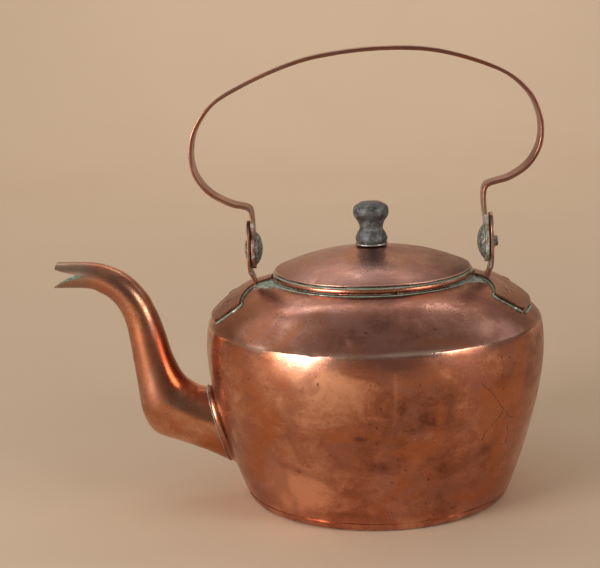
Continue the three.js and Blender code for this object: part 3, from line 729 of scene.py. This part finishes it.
# A lumpy run of solder or dirt along a path on the kettle's skin.
def bead_of(name, path, width, height, material, lumps=0.5, closed=True, seed=0):
    path = np.asarray(path, float)
    rings = []
    for i, point in enumerate(path):
        before = path[i - 1] if closed or i else path[i]
        after = path[(i + 1) % len(path)] if closed or i + 1 < len(path) else path[i]
        along = (after - before) / np.linalg.norm(after - before)
        up = surface_up(point)
        up = up - along * np.dot(up, along)
        up /= np.linalg.norm(up)
        side = np.cross(along, up)
        swell = 1 - lumps + 2 * lumps * cloud(*point, 4, seed)
        if not closed:
            from_end = min(i, len(path) - 1 - i)
            swell *= 0.25 + 0.75 * smoothstep(0, 4, from_end)
        ring = [point + side * math.cos(a) * width / 2 * swell + up * math.sin(a) * height * swell
                for a in around(10)]
        rings.append(ring)
    piece = lofted(name, rings, [material], "kettle", capped=not closed, smooth_angle=70)


# The direction straight out of the wall or the shoulder.
def surface_up(point):
    radius = math.hypot(point[0], point[1])
    if point[2] < CREASE_HEIGHT:
        return np.array([point[0], point[1], 0]) / radius
    flat = np.array([radius, point[2]]) - ARC_CENTRE
    flat /= np.linalg.norm(flat)
    return np.array([flat[0] * point[0] / radius, flat[0] * point[1] / radius, flat[1]])


# ---- lid ----
def lid_height(radius):
    dome = LID_RISE * (1 - (radius / LID_RADIUS) ** LID_POWER)
    return LID_RISE_FROM + dome + CROWN_RISE * math.exp(-((radius / CROWN_RADIUS) ** 4))


STUD_HOLE = 2.5              # radius of the holes for the knob's stud
RIM_SHEET = 0.25             # thickness of the lid's sheet at its edge


def lid_depth(x, y, z):
    return 0.3 * cloud(x, y, z, 30, 31) + 0.06 * cloud(x, y, z, 9, 5)


# The sheet thins out to a fine edge inside the rounded rim.
def lid_dome():
    edge = (LID_RISE_FROM - LID_EDGE) / 2 + 0.2
    rim_radius = LID_RADIUS - edge
    rim = arc_points((rim_radius, LID_EDGE + edge), edge, -math.pi / 2, math.pi / 3, 7)
    seat = CROWN_RADIUS + 1
    radii = np.concatenate([np.linspace(rim[-1][0], seat, 60)[1:],
                            np.linspace(seat, STUD_HOLE, 20)[1:]])
    outline = np.array(rim + [(r, lid_height(r)) for r in radii])
    thickness = np.clip(RIM_SHEET + 0.4 * (rim_radius - outline[:, 0]), RIM_SHEET, SHEET)
    piece = worked_sheet("lid_top", outline, lid_depth, [LID, TIN], "lid", thickness=thickness)
    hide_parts("lid_dome")
    return piece


def lid_skirt():
    inner = SKIRT_RADIUS - SHEET
    bevel = 0.4
    profile = [(inner, SKIRT_BOTTOM), (SKIRT_RADIUS - bevel, SKIRT_BOTTOM),
               (SKIRT_RADIUS, SKIRT_BOTTOM + bevel), (SKIRT_RADIUS, SKIRT_TOP), (inner, SKIRT_TOP)]
    piece = lofted("lid_flange", turned_rings(profile), [TRIM], "lid")
    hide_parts("lid_skirt")


# Fine turning marks and wear take a little off the knob's outline.
def knob():
    face, crowned = 6, 0.15
    swell = spline([(9.1, KNOB_BOTTOM), (9.6, 152.8), (8.7, 155.6), (7.1, 158.7), (8, 162.6),
                    (10.1, 165.7), (10.65, 168.7), (9.8, 171.7), (face, KNOB_TOP - crowned)], 80)
    crown = [(r, KNOB_TOP - crowned * (r / face) ** 2) for r in np.linspace(0.9 * face, 0, 8)]
    rings = turned_rings([(0, KNOB_BOTTOM), *swell, *crown], SMALL_ROUND)
    for point in rings.reshape(-1, 3):
        turning = 0.05 * math.sin(point[2] * 5.2) + 0.12 * cloud(*point, 3.5, 41) + 0.16
        radius = math.hypot(point[0], point[1])
        if radius > 1:
            point[:2] *= (radius - turning) / radius
    piece = lofted("turned_knob", rings, [WOOD], "lid", smooth_angle=60)
    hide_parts("knob")


def knob_washer():
    (_, _, low), (radius, _, high) = node_box("knob_washer")
    half = (high - low) / 2
    rim = arc_points((radius - half, low + half), half, -math.pi / 2, math.pi / 2, 9)
    rings = turned_rings([(STUD_HOLE, low), *rim, (STUD_HOLE, high)], SMALL_ROUND)
    piece = lofted("knob_ring", wavered(rings, 0.03, 3, 51, beyond=4), [PEWTER], "lid")
    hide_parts("knob_washer")


# ---- bail ----
STRAP_THICKNESS = 2.2
STRAP_WIDTH = 16
EYE_RADIUS = 12
EYES = {"left": 69.4, "right": 67}

# Centre line of the bent strap in (x, z), from the left eye round to the right.
BAIL_LINE = [
    (-69.4, PIN_HEIGHT), (-69.4, 158), (-69.7, 168.8),
    (-71, 172.5), (-74.6, 174.1), (-81.4, 175.8), (-92.4, 181.8), (-99, 188.9),
    (-102.8, 197.3), (-103.4, 208.6), (-99.9, 220.8), (-89.7, 234.1), (-72.2, 244.1),
    (-49.1, 253.7), (-26.3, 259.6), (7.6, 262.6), (41, 260.1), (74.7, 248.9),
    (91.3, 236.1), (98, 222.5), (99, 210.5), (96.6, 201.3), (90.5, 192.7),
    (81, 186.6), (73.5, 184.4), (69.3, 183.3), (66.7, 181.4), (65.7, 177.2),
    (65.9, 168.5), (67, 159.5), (67, PIN_HEIGHT),
]


# The outline of a flat bar with rounded corners.
def rounded_bar(half_thick, half_wide, corner):
    points = []
    for quarter, (sx, sy) in enumerate([(1, 1), (-1, 1), (-1, -1), (1, -1)]):
        centre = sx * (half_thick - corner), sy * (half_wide - corner)
        start = quarter * math.pi / 2
        points += arc_points(centre, corner, start, start + math.pi / 2, 4)
    return points


# Half the width of a round head, `away` from its centre, and not quite nothing at its end.
def half_chord(radius, away):
    return math.sqrt(max(radius ** 2 - away ** 2, 0.02))


def bail():
    body = spline(BAIL_LINE, 340)
    below_pin = np.linspace(-EYE_RADIUS + 0.15, -0.6, 14)
    left = [(body[0][0], PIN_HEIGHT + s) for s in below_pin]
    right = [(body[-1][0], PIN_HEIGHT + s) for s in below_pin[::-1]]
    line = np.array([*left, *body, *right])
    rings = []
    for (x, z), (sx, sz) in zip(line, -outline_normals(line)):
        wide = STRAP_WIDTH / 2
        from_pin = z - PIN_HEIGHT
        if from_pin < EYE_RADIUS:
            disc = half_chord(EYE_RADIUS, from_pin)
            wide = max(wide, disc) if from_pin > 0 else disc
        wide -= 0.35 * cloud(x, 0, z, 18, 61)
        thick = STRAP_THICKNESS / 2 - 0.12 * cloud(x, 0, z, 11, 62)
        corner = min(0.55, wide * 0.4, thick * 0.8)
        bow = 0.22 * (cloud(x, 0, z, 26, 63) - 0.5)
        rings.append([(x + sx * u, v + bow, z + sz * u) for u, v in rounded_bar(thick, wide, corner)])
    piece = lofted("bail_strap", rings, [STRAP], "bail", capped=True, smooth_angle=50)
    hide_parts("bail")
    return piece


# ---- ears ----
EAR_SHEET = 1.8
EAR_HEAD = 11                # radius of the round head
EAR_STEM = 6.5               # half width of the stem
EAR_STEM_TOP = 132
EAR_HEAD_FROM = PIN_HEIGHT - 4
EAR_BEND = [(1, 120), (0.9, 127), (0.4, 132.5), (0, 136.5), (0, 152)]   # (share of lean, height)
FOOT_SHEET = 1.3
FOOT_TURN = math.radians(-3)
FOOT_TONGUE = 5.5            # half width of the tongue that reaches the neck
FOOT_ROOT = 7.5              # its half width where it joins the foot
FOOT_FILLET = 6
FOOT_FILLET_PULL = 13
FOOT_HOOK = 1                # how far the inner corners stick out
FOOT_CUT = {"along": 3, "across": 2}    # what is off the outer corners
EARS = {
    "left": {"side": -1, "upright": 72, "top": 165.2, "lean": 3.4,
             "inner": 75.3, "outer": 95, "half": 32, "rivet": (85, 15)},
    "right": {"side": 1, "upright": 69.8, "top": 165.9, "lean": 2.4,
              "inner": 70.3, "outer": 91, "half": 32, "rivet": (78, 16)},
}


def ear_half_width(z, top):
    head_centre = top - EAR_HEAD
    if z <= EAR_STEM_TOP:
        return EAR_STEM
    if z < EAR_HEAD_FROM:
        t = (z - EAR_STEM_TOP) / (EAR_HEAD_FROM - EAR_STEM_TOP)
        return bezier(EAR_STEM, EAR_HEAD, EAR_HEAD, t)
    if z < head_centre:
        return EAR_HEAD
    return half_chord(EAR_HEAD, z - head_centre)


def ear_upright(ear):
    upright, lean, top = ear["upright"], ear["lean"], ear["top"]
    line = spline([(upright - lean * share, z) for share, z in EAR_BEND] + [(upright, top)], 160)
    lowest = over_shoulder(upright - lean, GAP)[1]
    fine_from = top - 3
    heights = np.concatenate([np.linspace(lowest, fine_from, 46, endpoint=False),
                              fine_from + 3 * np.sin(np.linspace(0, math.pi / 2, 12))])
    rings = []
    for height in heights:
        x = np.interp(height, line[:, 1], line[:, 0])
        wide = ear_half_width(height, top)
        corner = min(0.5, wide * 0.45)
        thick = EAR_SHEET / 2 - 0.1 * cloud(x, 0, height, 7, 71)
        rings.append([(ear["side"] * (x + u), v, height) for u, v in rounded_bar(thick, wide, corner)])
    return rings


# The point over the shoulder for a place in the foot's own plan.
def foot_point(ear, x, y, above):
    r, z = over_shoulder(math.hypot(x, y), above)
    angle = math.atan2(y, x) + FOOT_TURN
    return np.array([r * math.cos(angle) * ear["side"], r * math.sin(angle) * ear["side"], z])


def foot_corner(ear):
    return math.asin((ear["half"] - FOOT_CUT["across"]) / ear["outer"])


# One half of the foot's plan, as (x, y) from the neck to the middle of its outer edge:
# the tongue, the fillet (NARROW_ROWS points so far), the hook and the outer arc.
NARROW_ROWS = 10


def foot_outline(ear):
    inner, outer, half = ear["inner"], ear["outer"], ear["half"]
    fillet = [np.array(place) for place in (
        (inner - FOOT_FILLET, FOOT_ROOT), (inner - 1, FOOT_FILLET_PULL), (inner, half - FOOT_FILLET))]
    corner = foot_corner(ear)
    return [
        (BEAD_RADIUS + 2 * GAP, FOOT_TONGUE),
        *[bezier(*fillet, t) for t in np.linspace(0, 1, NARROW_ROWS - 1)],
        (inner - FOOT_HOOK / 2, half + FOOT_HOOK),
        (outer * math.cos(corner) - FOOT_CUT["along"], half),
        *arc_points((0, 0), outer, corner, 0, 14),
    ]


# Rows of points across the foot, each from the front edge to the back edge.
def foot_rows(ear):
    inner, outer = ear["inner"], ear["outer"]
    straight = ear["half"] - FOOT_CUT["across"]
    rows = [[(x, v) for v in np.linspace(-y, y, 41)] for x, y in foot_outline(ear)[:NARROW_ROWS]]
    wide_edge = [(inner - FOOT_HOOK / 2 + 0.3 * abs(share), share * (ear["half"] + FOOT_HOOK))
                 for share in np.linspace(-1, 1, 41)]
    for t in np.linspace(0, 1, 12):
        row = []
        for x, v in wide_edge:
            rim = math.sqrt(outer ** 2 - min(abs(v), straight) ** 2) - max(abs(v) - straight, 0)
            row.append((x + (rim - x) * t, v * (1 - 0.03 * t)))
        rows.append(row)
    return rows


# The foot's upper and lower skins, and the edge between them.
def foot_mesh(ear):
    rows = foot_rows(ear)
    points = [foot_point(ear, x, y, above)
              for above in (GAP + FOOT_SHEET, GAP) for row in rows for x, y in row]
    grid = np.arange(len(points) // 2).reshape(len(rows), -1)
    low = grid.size
    corners = grid[:-1, :-1], grid[:-1, 1:], grid[1:, 1:], grid[1:, :-1]
    faces = []
    for a, b, c, d in zip(*(corner.flat for corner in corners)):
        faces.append((a, b, c, d))
        faces.append((low + d, low + c, low + b, low + a))
    border = [*grid[0], *grid[1:, -1], *grid[-1, -2::-1], *grid[-2:0:-1, 0]]
    for a, b in zip(border, border[1:] + border[:1]):
        faces.append((a, b, low + b, low + a))
    return points, faces


def make_ear(name, ear):
    rings = np.array(ear_upright(ear))
    foot_points, foot_faces = foot_mesh(ear)
    points = [*rings.reshape(-1, 3), *foot_points]
    start = len(points) - len(foot_points)
    faces = ring_faces(*rings.shape[:2], True)
    faces += [tuple(start + i for i in face) for face in foot_faces]
    piece = mesh_piece(f"ear_plate_{name}", points, faces, [EAR], "kettle", smooth_angle=45)
    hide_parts(f"ear_{name}")
    return piece


# ---- rivets ----
PIN_RADIUS = 2.7
TAIL_RADIUS = 3.1            # of the spread end outside the ear


# A pitted dome inside the eye, a shank through eye and ear, and a spread tail outside.
def bail_rivet(name, ear):
    low, high = node_box(f"bail_rivet_{name}")
    near, far = sorted(abs(v) for v in (low[0], high[0]))
    base = EYES[name] - STRAP_THICKNESS / 2 - HAIRLINE
    dome = [(high[1] * math.sin(t), base - (base - near) * math.cos(t) ** 1.3)
            for t in np.linspace(0, math.pi / 2, 22)]
    tail = [(PIN_RADIUS, base), (PIN_RADIUS, far - 1.2), (TAIL_RADIUS, far - 1), (3, far - 0.3),
            (2.4, far), (0, far)]
    rings = turned_rings(dome + tail, 72)
    for point in rings.reshape(-1, 3):
        radius = math.hypot(point[0], point[1])
        if point[2] < base - 0.2 and radius > 0.5:
            pit = 0.35 * cloud(*point, 2.2, 81) ** 2 + 0.5 * cloud(*point, 6, 82)
            point[2] += pit * 0.7
            point[:2] *= 1 - 0.03 * cloud(*point, 4, 83)
    x, y, z = np.moveaxis(rings, -1, 0)
    rings = np.stack([z * ear["side"], x, PIN_HEIGHT + y], axis=-1)
    piece = lofted(f"pin_{name}", rings, [IRON], "kettle", smooth_angle=60)
    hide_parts(f"bail_rivet_{name}")


def burr(name):
    low, high = node_box(f"bail_burr_{name}")
    middle, half = (low + high) / 2, (high - low) / 2
    rings = []
    for t in np.linspace(-1, 1, 5):
        ring = []
        for u, v in rounded_bar(half[1], half[2], 1.1):
            shrink = 1 - 0.05 * abs(t) ** 4 - 0.05 * cloud(u, v, t, 3, 91)
            ring.append((middle[0] + t * half[0], u * shrink, middle[2] + v * shrink))
        rings.append(ring)
    piece = lofted(f"square_burr_{name}", rings, [IRON], "kettle", capped=True)
    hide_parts(f"bail_burr_{name}")


# The clenched end under the shoulder, the shank, and the flat head on the foot.
STUD_TOP = GAP + FOOT_SHEET + 0.02
STUD_PROFILE = [
    (0, -1.6), (2.6, -1.7), (3.1, -1.4), (1.6, -1.3), (1.6, STUD_TOP),
    *[(2.9 * math.cos(t), STUD_TOP + 0.6 * math.sin(t)) for t in np.linspace(0, math.pi / 2, 8)],
]
SIDES = (("front", -1), ("back", 1))


def foot_rivets(name, ear):
    for where, sign in SIDES:
        node = f"foot_rivet_{name}_{where}"
        x, y = ear["rivet"]
        centre = foot_point(ear, x, sign * y * ear["side"], 0)
        up = surface_up(centre)
        side = np.cross(up, [0, 0, 1])
        side /= np.linalg.norm(side)
        other = np.cross(up, side)
        rings = [[centre + side * r * math.cos(a) + other * r * math.sin(a) + up * h for a in around(28)]
                 for r, h in STUD_PROFILE]
        piece = lofted(f"foot_stud_{name}_{where}", rings, [EAR], "kettle", smooth_angle=60)
        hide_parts(node)


# The knob's stud and its burr keep the shapes they have in CAD.
def inner_stud():
    for node in ("knob_stud", "knob_burr"):
        for slot in frame["nodes"][node].material_slots:
            slot.material = TRIM


# ---- solder and verdigris ----
def neck_seam():
    turns = around(240)
    path = []
    for a in turns:
        wander = 0.5 * cloud(math.cos(a) * 60, math.sin(a) * 60, 0, 14, 101)
        r, z = over_shoulder(BEAD_RADIUS + 0.3 + wander)
        path.append((r * math.cos(a), r * math.sin(a), z))
    bead_of("neck_solder", path, 0.9, 0.32, GREEN_SOLDER, lumps=0.45, seed=102)
    r = BEAD_RADIUS - 1.4
    groove = [(r * math.cos(a), r * math.sin(a), BEAD_TOP - HAIRLINE) for a in turns]
    bead_of("groove_crust", groove, 1.6, 0.42, GREEN_SOLDER, seed=104)


# A dark bead along both sides of the foot is a painted shadow in the gap under its edge, with solder
# outside it:
# how far each lies from the foot's edge, and how wide and high it is.
FOOT_SEAMS = (("gap", 0.4, 0.9, 0.5, TARNISH_AND_SHADOW), ("solder", 1.5, 1.3, 0.6, GREEN_SOLDER))


def foot_seams(name, ear):
    edge = foot_outline(ear)[:NARROW_ROWS + 3]
    for where, sign in SIDES:
        for kind, away, wide, high, material in FOOT_SEAMS:
            path = [foot_point(ear, x, sign * ear["side"] * (y + away), HAIRLINE) for x, y in edge]
            bead_of(f"foot_{kind}_{name}_{where}", spline(path, 70), wide, high, material,
                    closed=False, seed=110 + sign)


# Solder also runs round the front corner of the right foot.
def foot_corner_seam(ear):
    corner = foot_corner(ear)
    path = [foot_point(ear, x, -y, HAIRLINE)
            for x, y in arc_points((0, 0), ear["outer"] + 1.2, corner, corner * 0.3, 50)]
    bead_of("foot_solder_right_corner", path, 1.5, 0.6, GREEN_SOLDER, lumps=0.6,
            closed=False, seed=112)


def spout_seam():
    path = [spout_oval(a, 0.15, SPOUT_STANDOFF - 0.15) for a in around(160)]
    bead_of("spout_solder", path, 0.7, 0.3, SOLDER, lumps=0.35, seed=120)
    lump = [spout_oval(math.radians(d), 0.3, SPOUT_STANDOFF - 0.2) for d in np.linspace(62, 118, 30)]
    bead_of("spout_solder_lump", lump, 2.0, 0.7, SOLDER, closed=False, seed=121)


# Fine dark cracks in the tarnish: (degrees, height) along each.
CRACKS = [
    [(-56, 86), (-54.1, 82.3), (-50.6, 77), (-46.9, 69.8), (-44.6, 66), (-40.3, 59.9), (-35.6, 58.4)],
    [(-44.6, 66), (-47.5, 61), (-52, 56), (-53.5, 50)],
    [(-41, 54), (-40, 51.9), (-39.7, 42.6)],
]


def cracks():
    for i, corners in enumerate(CRACKS):
        path = []
        for degrees, height in spline(corners, 70):
            angle = math.radians(degrees + 0.8 * cloud(degrees, height, 0, 3, 130))
            radius = wall_radius(height)
            point = np.array([radius * math.cos(angle), radius * math.sin(angle), height])
            path.append(point - surface_up(point) * (body_depth(*point) + 0.02))
        bead_of(f"crack_{i}", path, 0.42, 0.06, TARNISH_AND_SHADOW, lumps=0.7, closed=False,
                seed=131 + i)


# ---- painted attributes ----
# Each patch is (degrees, height, reach in degrees, reach in height, strength).
# In a stain table a positive strength darkens and a negative one lightens: the wall's positive patches
# are stains, its negative ones painted reflections.
WALL_STAINS_AND_REFLECTIONS = [
    (-80, 101, 9, 2.8, 2.6), (-88, 43, 6, 4, 1.2), (-96.9, 59.6, 1.4, 1.6, 2.2),
    (-80, 76, 13, 26, 1.4), (-58, 26, 20, 16, 0.8), (-44, 45, 12, 22, 0.6), (-94, 22, 10, 12, 0.4),
    (-37, 80, 14, 20, 0.7), (-126, 64, 6, 8, 0.7), (-134, 56, 8, 7, 0.5), (-95, 10, 30, 3, 0.5),
    (-110, 86, 10, 16, -1.3), (-124, 22, 22, 14, -1.9), (-142, 75, 8, 14, -0.3), (-110, 44, 3, 4, -0.9),
    (-69, 90, 5, 7, -0.9), (-63, 72, 3, 6, -0.5), (-74, 60, 4, 4, -0.6), (-60, 52, 8, 6, 0.5),
    (-64, 80, 8, 14, 0.5),
]
WALL_MARKS = [(-78.6, 58.3, 1.6, 1.4, 0.5), (-75, 57.6, 1.6, 1.2, 0.5), (-71.6, 56.7, 1.8, 1.6, 0.5)]
# The shoulder's table mixes stains with painted light: its lightening patches at the left and right are
# painted highlights, and the strong dark patch in its middle is painted shade.
SHOULDER_STAINS_AND_PAINTED_LIGHT = [
    (-132, 118, 8, 6, 0.5), (-40, 122, 8, 5, 0.7), (-90, 119, 12, 7, 1.5), (-74, 112, 8, 4, 0.7),
    (-122, 120, 10, 5, -1.2), (-106, 116, 8, 5, 0.7), (-66, 121, 8, 4, -0.3), (-56, 113, 10, 4, -0.4),
    (-100, 129, 40, 2, 0.5), (-148, 112, 10, 7, -1.0), (-36, 110, 10, 6, -1.2),
]


# The patches here are stains and painted light alike.
STAIN_END = 8                # (distance / reach) squared where a stain has faded out


# The rule that adds up a table's patches: stains, painted light and shade, or crust.
def stained(stains):
    def rule(x, y, z):
        angle = math.degrees(math.atan2(y, x))
        total = 0.0
        for degrees, height, wide, tall, strength in stains:
            turn = (angle - degrees + 180) % 360 - 180
            away = (turn / wide) ** 2 + ((z - height) / tall) ** 2
            if away < STAIN_END:
                total += strength * math.exp(-away)
        return total
    return rule


# Verdigris lies along the neck and spreads between the neck and the ears' feet.
def shoulder_crust(x, y, z):
    from_neck = max(math.hypot(x, y) - BEAD_RADIUS, 0)
    from_ear = abs(math.degrees(math.atan2(y, abs(x))))
    reach = 3 + 14 * hump(from_ear, 0, 26)
    spread = hump(from_ear, 0, 34) * hump(from_neck, 0, reach)
    return 0.30 * hump(from_neck, 0, 1.4) + 0.85 * spread


def neck_crust(x, y, z):
    return 0.50


# Verdigris sits in the ear's bend and at the ends of its foot.
def ear_crust(x, y, z):
    bend = hump(z, 136, 8) * (abs(y) < EAR_HEAD)
    foot_end = hump(max(abs(y) - 22, 0), 0, 9) * (z < 124) * smoothstep(24, 32, abs(y))
    return 0.50 * bend + 0.40 * foot_end


def strap_crust(x, y, z):
    return smoothstep(174, 165, z) * (0.54 if x > 0 else 0.45)


def strap_patina(x, y, z):
    return 0.45 * smoothstep(180, 170, z)


def spout_patina(x, y, z):
    return 0.8 * smoothstep(-158, -176, x)


# Tarnish with a painted dark reflection down the middle of the spout's sides, and lighter copper low
# down by its heel.
def spout_stain(x, y, z):
    side = hump(x, -131, 7) * smoothstep(48, 66, z) * smoothstep(118, 96, z)
    foot = hump(z, 54, 7) * smoothstep(-132, -118, x)
    return 0.8 * side + 0.1 * foot - 0.5 * hump(z, 34, 12)


# The lid carries painted reflections: dark at both ends, with a pale oval in front of the knob.
def lid_stain(x, y, z):
    oval = hump(x, 0, 34) * hump(y, -34, 14)
    return 1.5 * smoothstep(8, 50, x) + 0.5 * smoothstep(-30, -56, x) - 0.8 * oval


# A painted highlight along the lid's rim.
def lid_worn(x, y, z):
    return 1.2 * smoothstep(LID_RADIUS - 1.2, LID_RADIUS - 0.4, math.hypot(x, y))


# Wear along the crease, with a painted highlight on it.
def worn_crease(x, y, z):
    return hump(z, CREASE_HEIGHT, 1.6)


# The crease is worn bright and carries a painted highlight. An upright scuff on the front is worn
# bright.
def wall_worn(x, y, z):
    scuff = hump(math.degrees(math.atan2(y, x)), -84.5, 0.9)
    return worn_crease(x, y, z) + 0.7 * scuff * smoothstep(64, 72, z) * smoothstep(100, 96, z)


# Writes each rule's value at every vertex to the attribute that the copper shader reads.
def paint(piece, **rules):
    mesh = piece.data
    for name, rule in rules.items():
        layer = mesh.attributes.new(name, "FLOAT", "POINT")
        values = [rule(*(vertex.co / MM)) for vertex in mesh.vertices]
        layer.data.foreach_set("value", values)


# ---- assembly ----
paint(body_wall(), worn=wall_worn, stain=stained(WALL_STAINS_AND_REFLECTIONS), crust=stained(WALL_MARKS))
paint(shoulder(), worn=worn_crease, crust=shoulder_crust, stain=stained(SHOULDER_STAINS_AND_PAINTED_LIGHT))
base_pan()
paint(neck(), crust=neck_crust)
paint(neck_bead(), crust=bead_crust)
paint(spout(), stain=spout_stain, patina=spout_patina)
spout_socket()
paint(lid_dome(), stain=lid_stain, worn=lid_worn)
lid_skirt()
knob()
knob_washer()
paint(bail(), crust=strap_crust, patina=strap_patina)
for ear_name, ear_spec in EARS.items():
    paint(make_ear(ear_name, ear_spec), crust=ear_crust)
    bail_rivet(ear_name, ear_spec)
    burr(ear_name)
    foot_rivets(ear_name, ear_spec)
    foot_seams(ear_name, ear_spec)
inner_stud()
foot_corner_seam(EARS["right"])
neck_seam()
spout_seam()
cracks()


# ---- stage ----
LAMP_COLOUR = (1, 0.98, 0.95)


# A floor that bends up into a backdrop behind the kettle.
def floor():
    s = Shader("pale_floor")
    shade = s.noise(260, detail=2)
    colour = s.mix(shade, (0.57, 0.425, 0.298), (0.61, 0.46, 0.33))
    material = s.finish(Base_Color=colour, Roughness=0.9, Specular_IOR_Level=0.2)
    reach, back, top, bend, drop = 6000, 2400, 2600, 900, 0.02
    sweep = arc_points((back - bend, bend), bend, -math.pi / 2, 0, 24)
    section = [(-reach, 0), *sweep, (back, top)]
    points = [(x, y, z - drop) for x in (-reach, reach) for y, z in section]
    count = len(section)
    faces = [(i, i + 1, count + i + 1, count + i) for i in range(count - 1)]
    piece = new_object("floor", points, faces, [material])
    piece.data.shade_smooth()


# A soft box at a bearing and height in degrees, its distance, size and target in metres.
def soft_box(name, azimuth, elevation, distance, size, watts, target=(0, 0, 0.09)):
    light = bpy.data.lights.new(name, "AREA")
    light.shape = "RECTANGLE"
    light.size, light.size_y = size
    light.energy = watts
    light.color = LAMP_COLOUR
    box = bpy.data.objects.new(name, light)
    a, e = math.radians(azimuth), math.radians(elevation)
    away = Vector((math.sin(a) * math.cos(e), -math.cos(a) * math.cos(e), math.sin(e)))
    box.location = Vector(target) + away * distance
    box.rotation_euler = away.to_track_quat("Z", "Y").to_euler()
    box.visible_camera = False
    bpy.context.scene.collection.objects.link(box)


def lights():
    soft_box("key", -52, 13, 1.4, (0.7, 0.62), 18)
    soft_box("fill", 56, 19, 1.5, (0.6, 0.75), 9)
    soft_box("side_left", -112, 46, 1.6, (0.9, 0.8), 1.5)
    soft_box("side_right", 112, 34, 1.6, (0.6, 0.7), 0.6)
    soft_box("back", 200, 42, 2.0, (0.8, 0.6), 0.8)
    soft_box("backdrop", 0, 50, 1.6, (2.6, 0.5), 24, target=(0, 2.3, 0.6))
    world = bpy.data.worlds.new("studio")
    bpy.context.scene.world = world
    world.use_nodes = True
    nodes, links = world.node_tree.nodes, world.node_tree.links
    sky = nodes["Background"]
    sky.inputs["Color"].default_value = (0.88, 0.85, 0.80, 1)
    # The room is darker behind the camera and to its right.
    place = nodes.new("ShaderNodeTexCoord")
    facing = nodes.new("ShaderNodeVectorMath")
    facing.operation = "DOT_PRODUCT"
    facing.inputs[1].default_value = (-0.45, 0.85, 0.28)
    links.new(place.outputs["Generated"], facing.inputs[0])
    brightness = nodes.new("ShaderNodeMapRange")
    for key, value in (("From Min", -0.8), ("From Max", 0.5), ("To Min", 0.14), ("To Max", 0.46)):
        brightness.inputs[key].default_value = value
    links.new(facing.outputs["Value"], brightness.inputs["Value"])
    links.new(brightness.outputs["Result"], sky.inputs["Strength"])
    settings = bpy.context.scene.view_settings
    settings.view_transform = "Standard"
    settings.look = "None"


def camera():
    data = bpy.data.cameras.new("camera")
    data.lens = 85
    data.sensor_width = 36
    data.clip_end = 50
    view = bpy.data.objects.new("camera", data)
    view.location = Vector((-11.5, -822.0, 294.8)) * MM
    aim = Vector((-0.0376, 0.9789, -0.2007)).to_track_quat("-Z", "Y")
    view.rotation_mode = "QUATERNION"
    view.rotation_quaternion = aim @ Quaternion((0, 0, 1), -0.038)
    bpy.context.scene.collection.objects.link(view)
    bpy.context.scene.camera = view


floor()
lights()
camera()
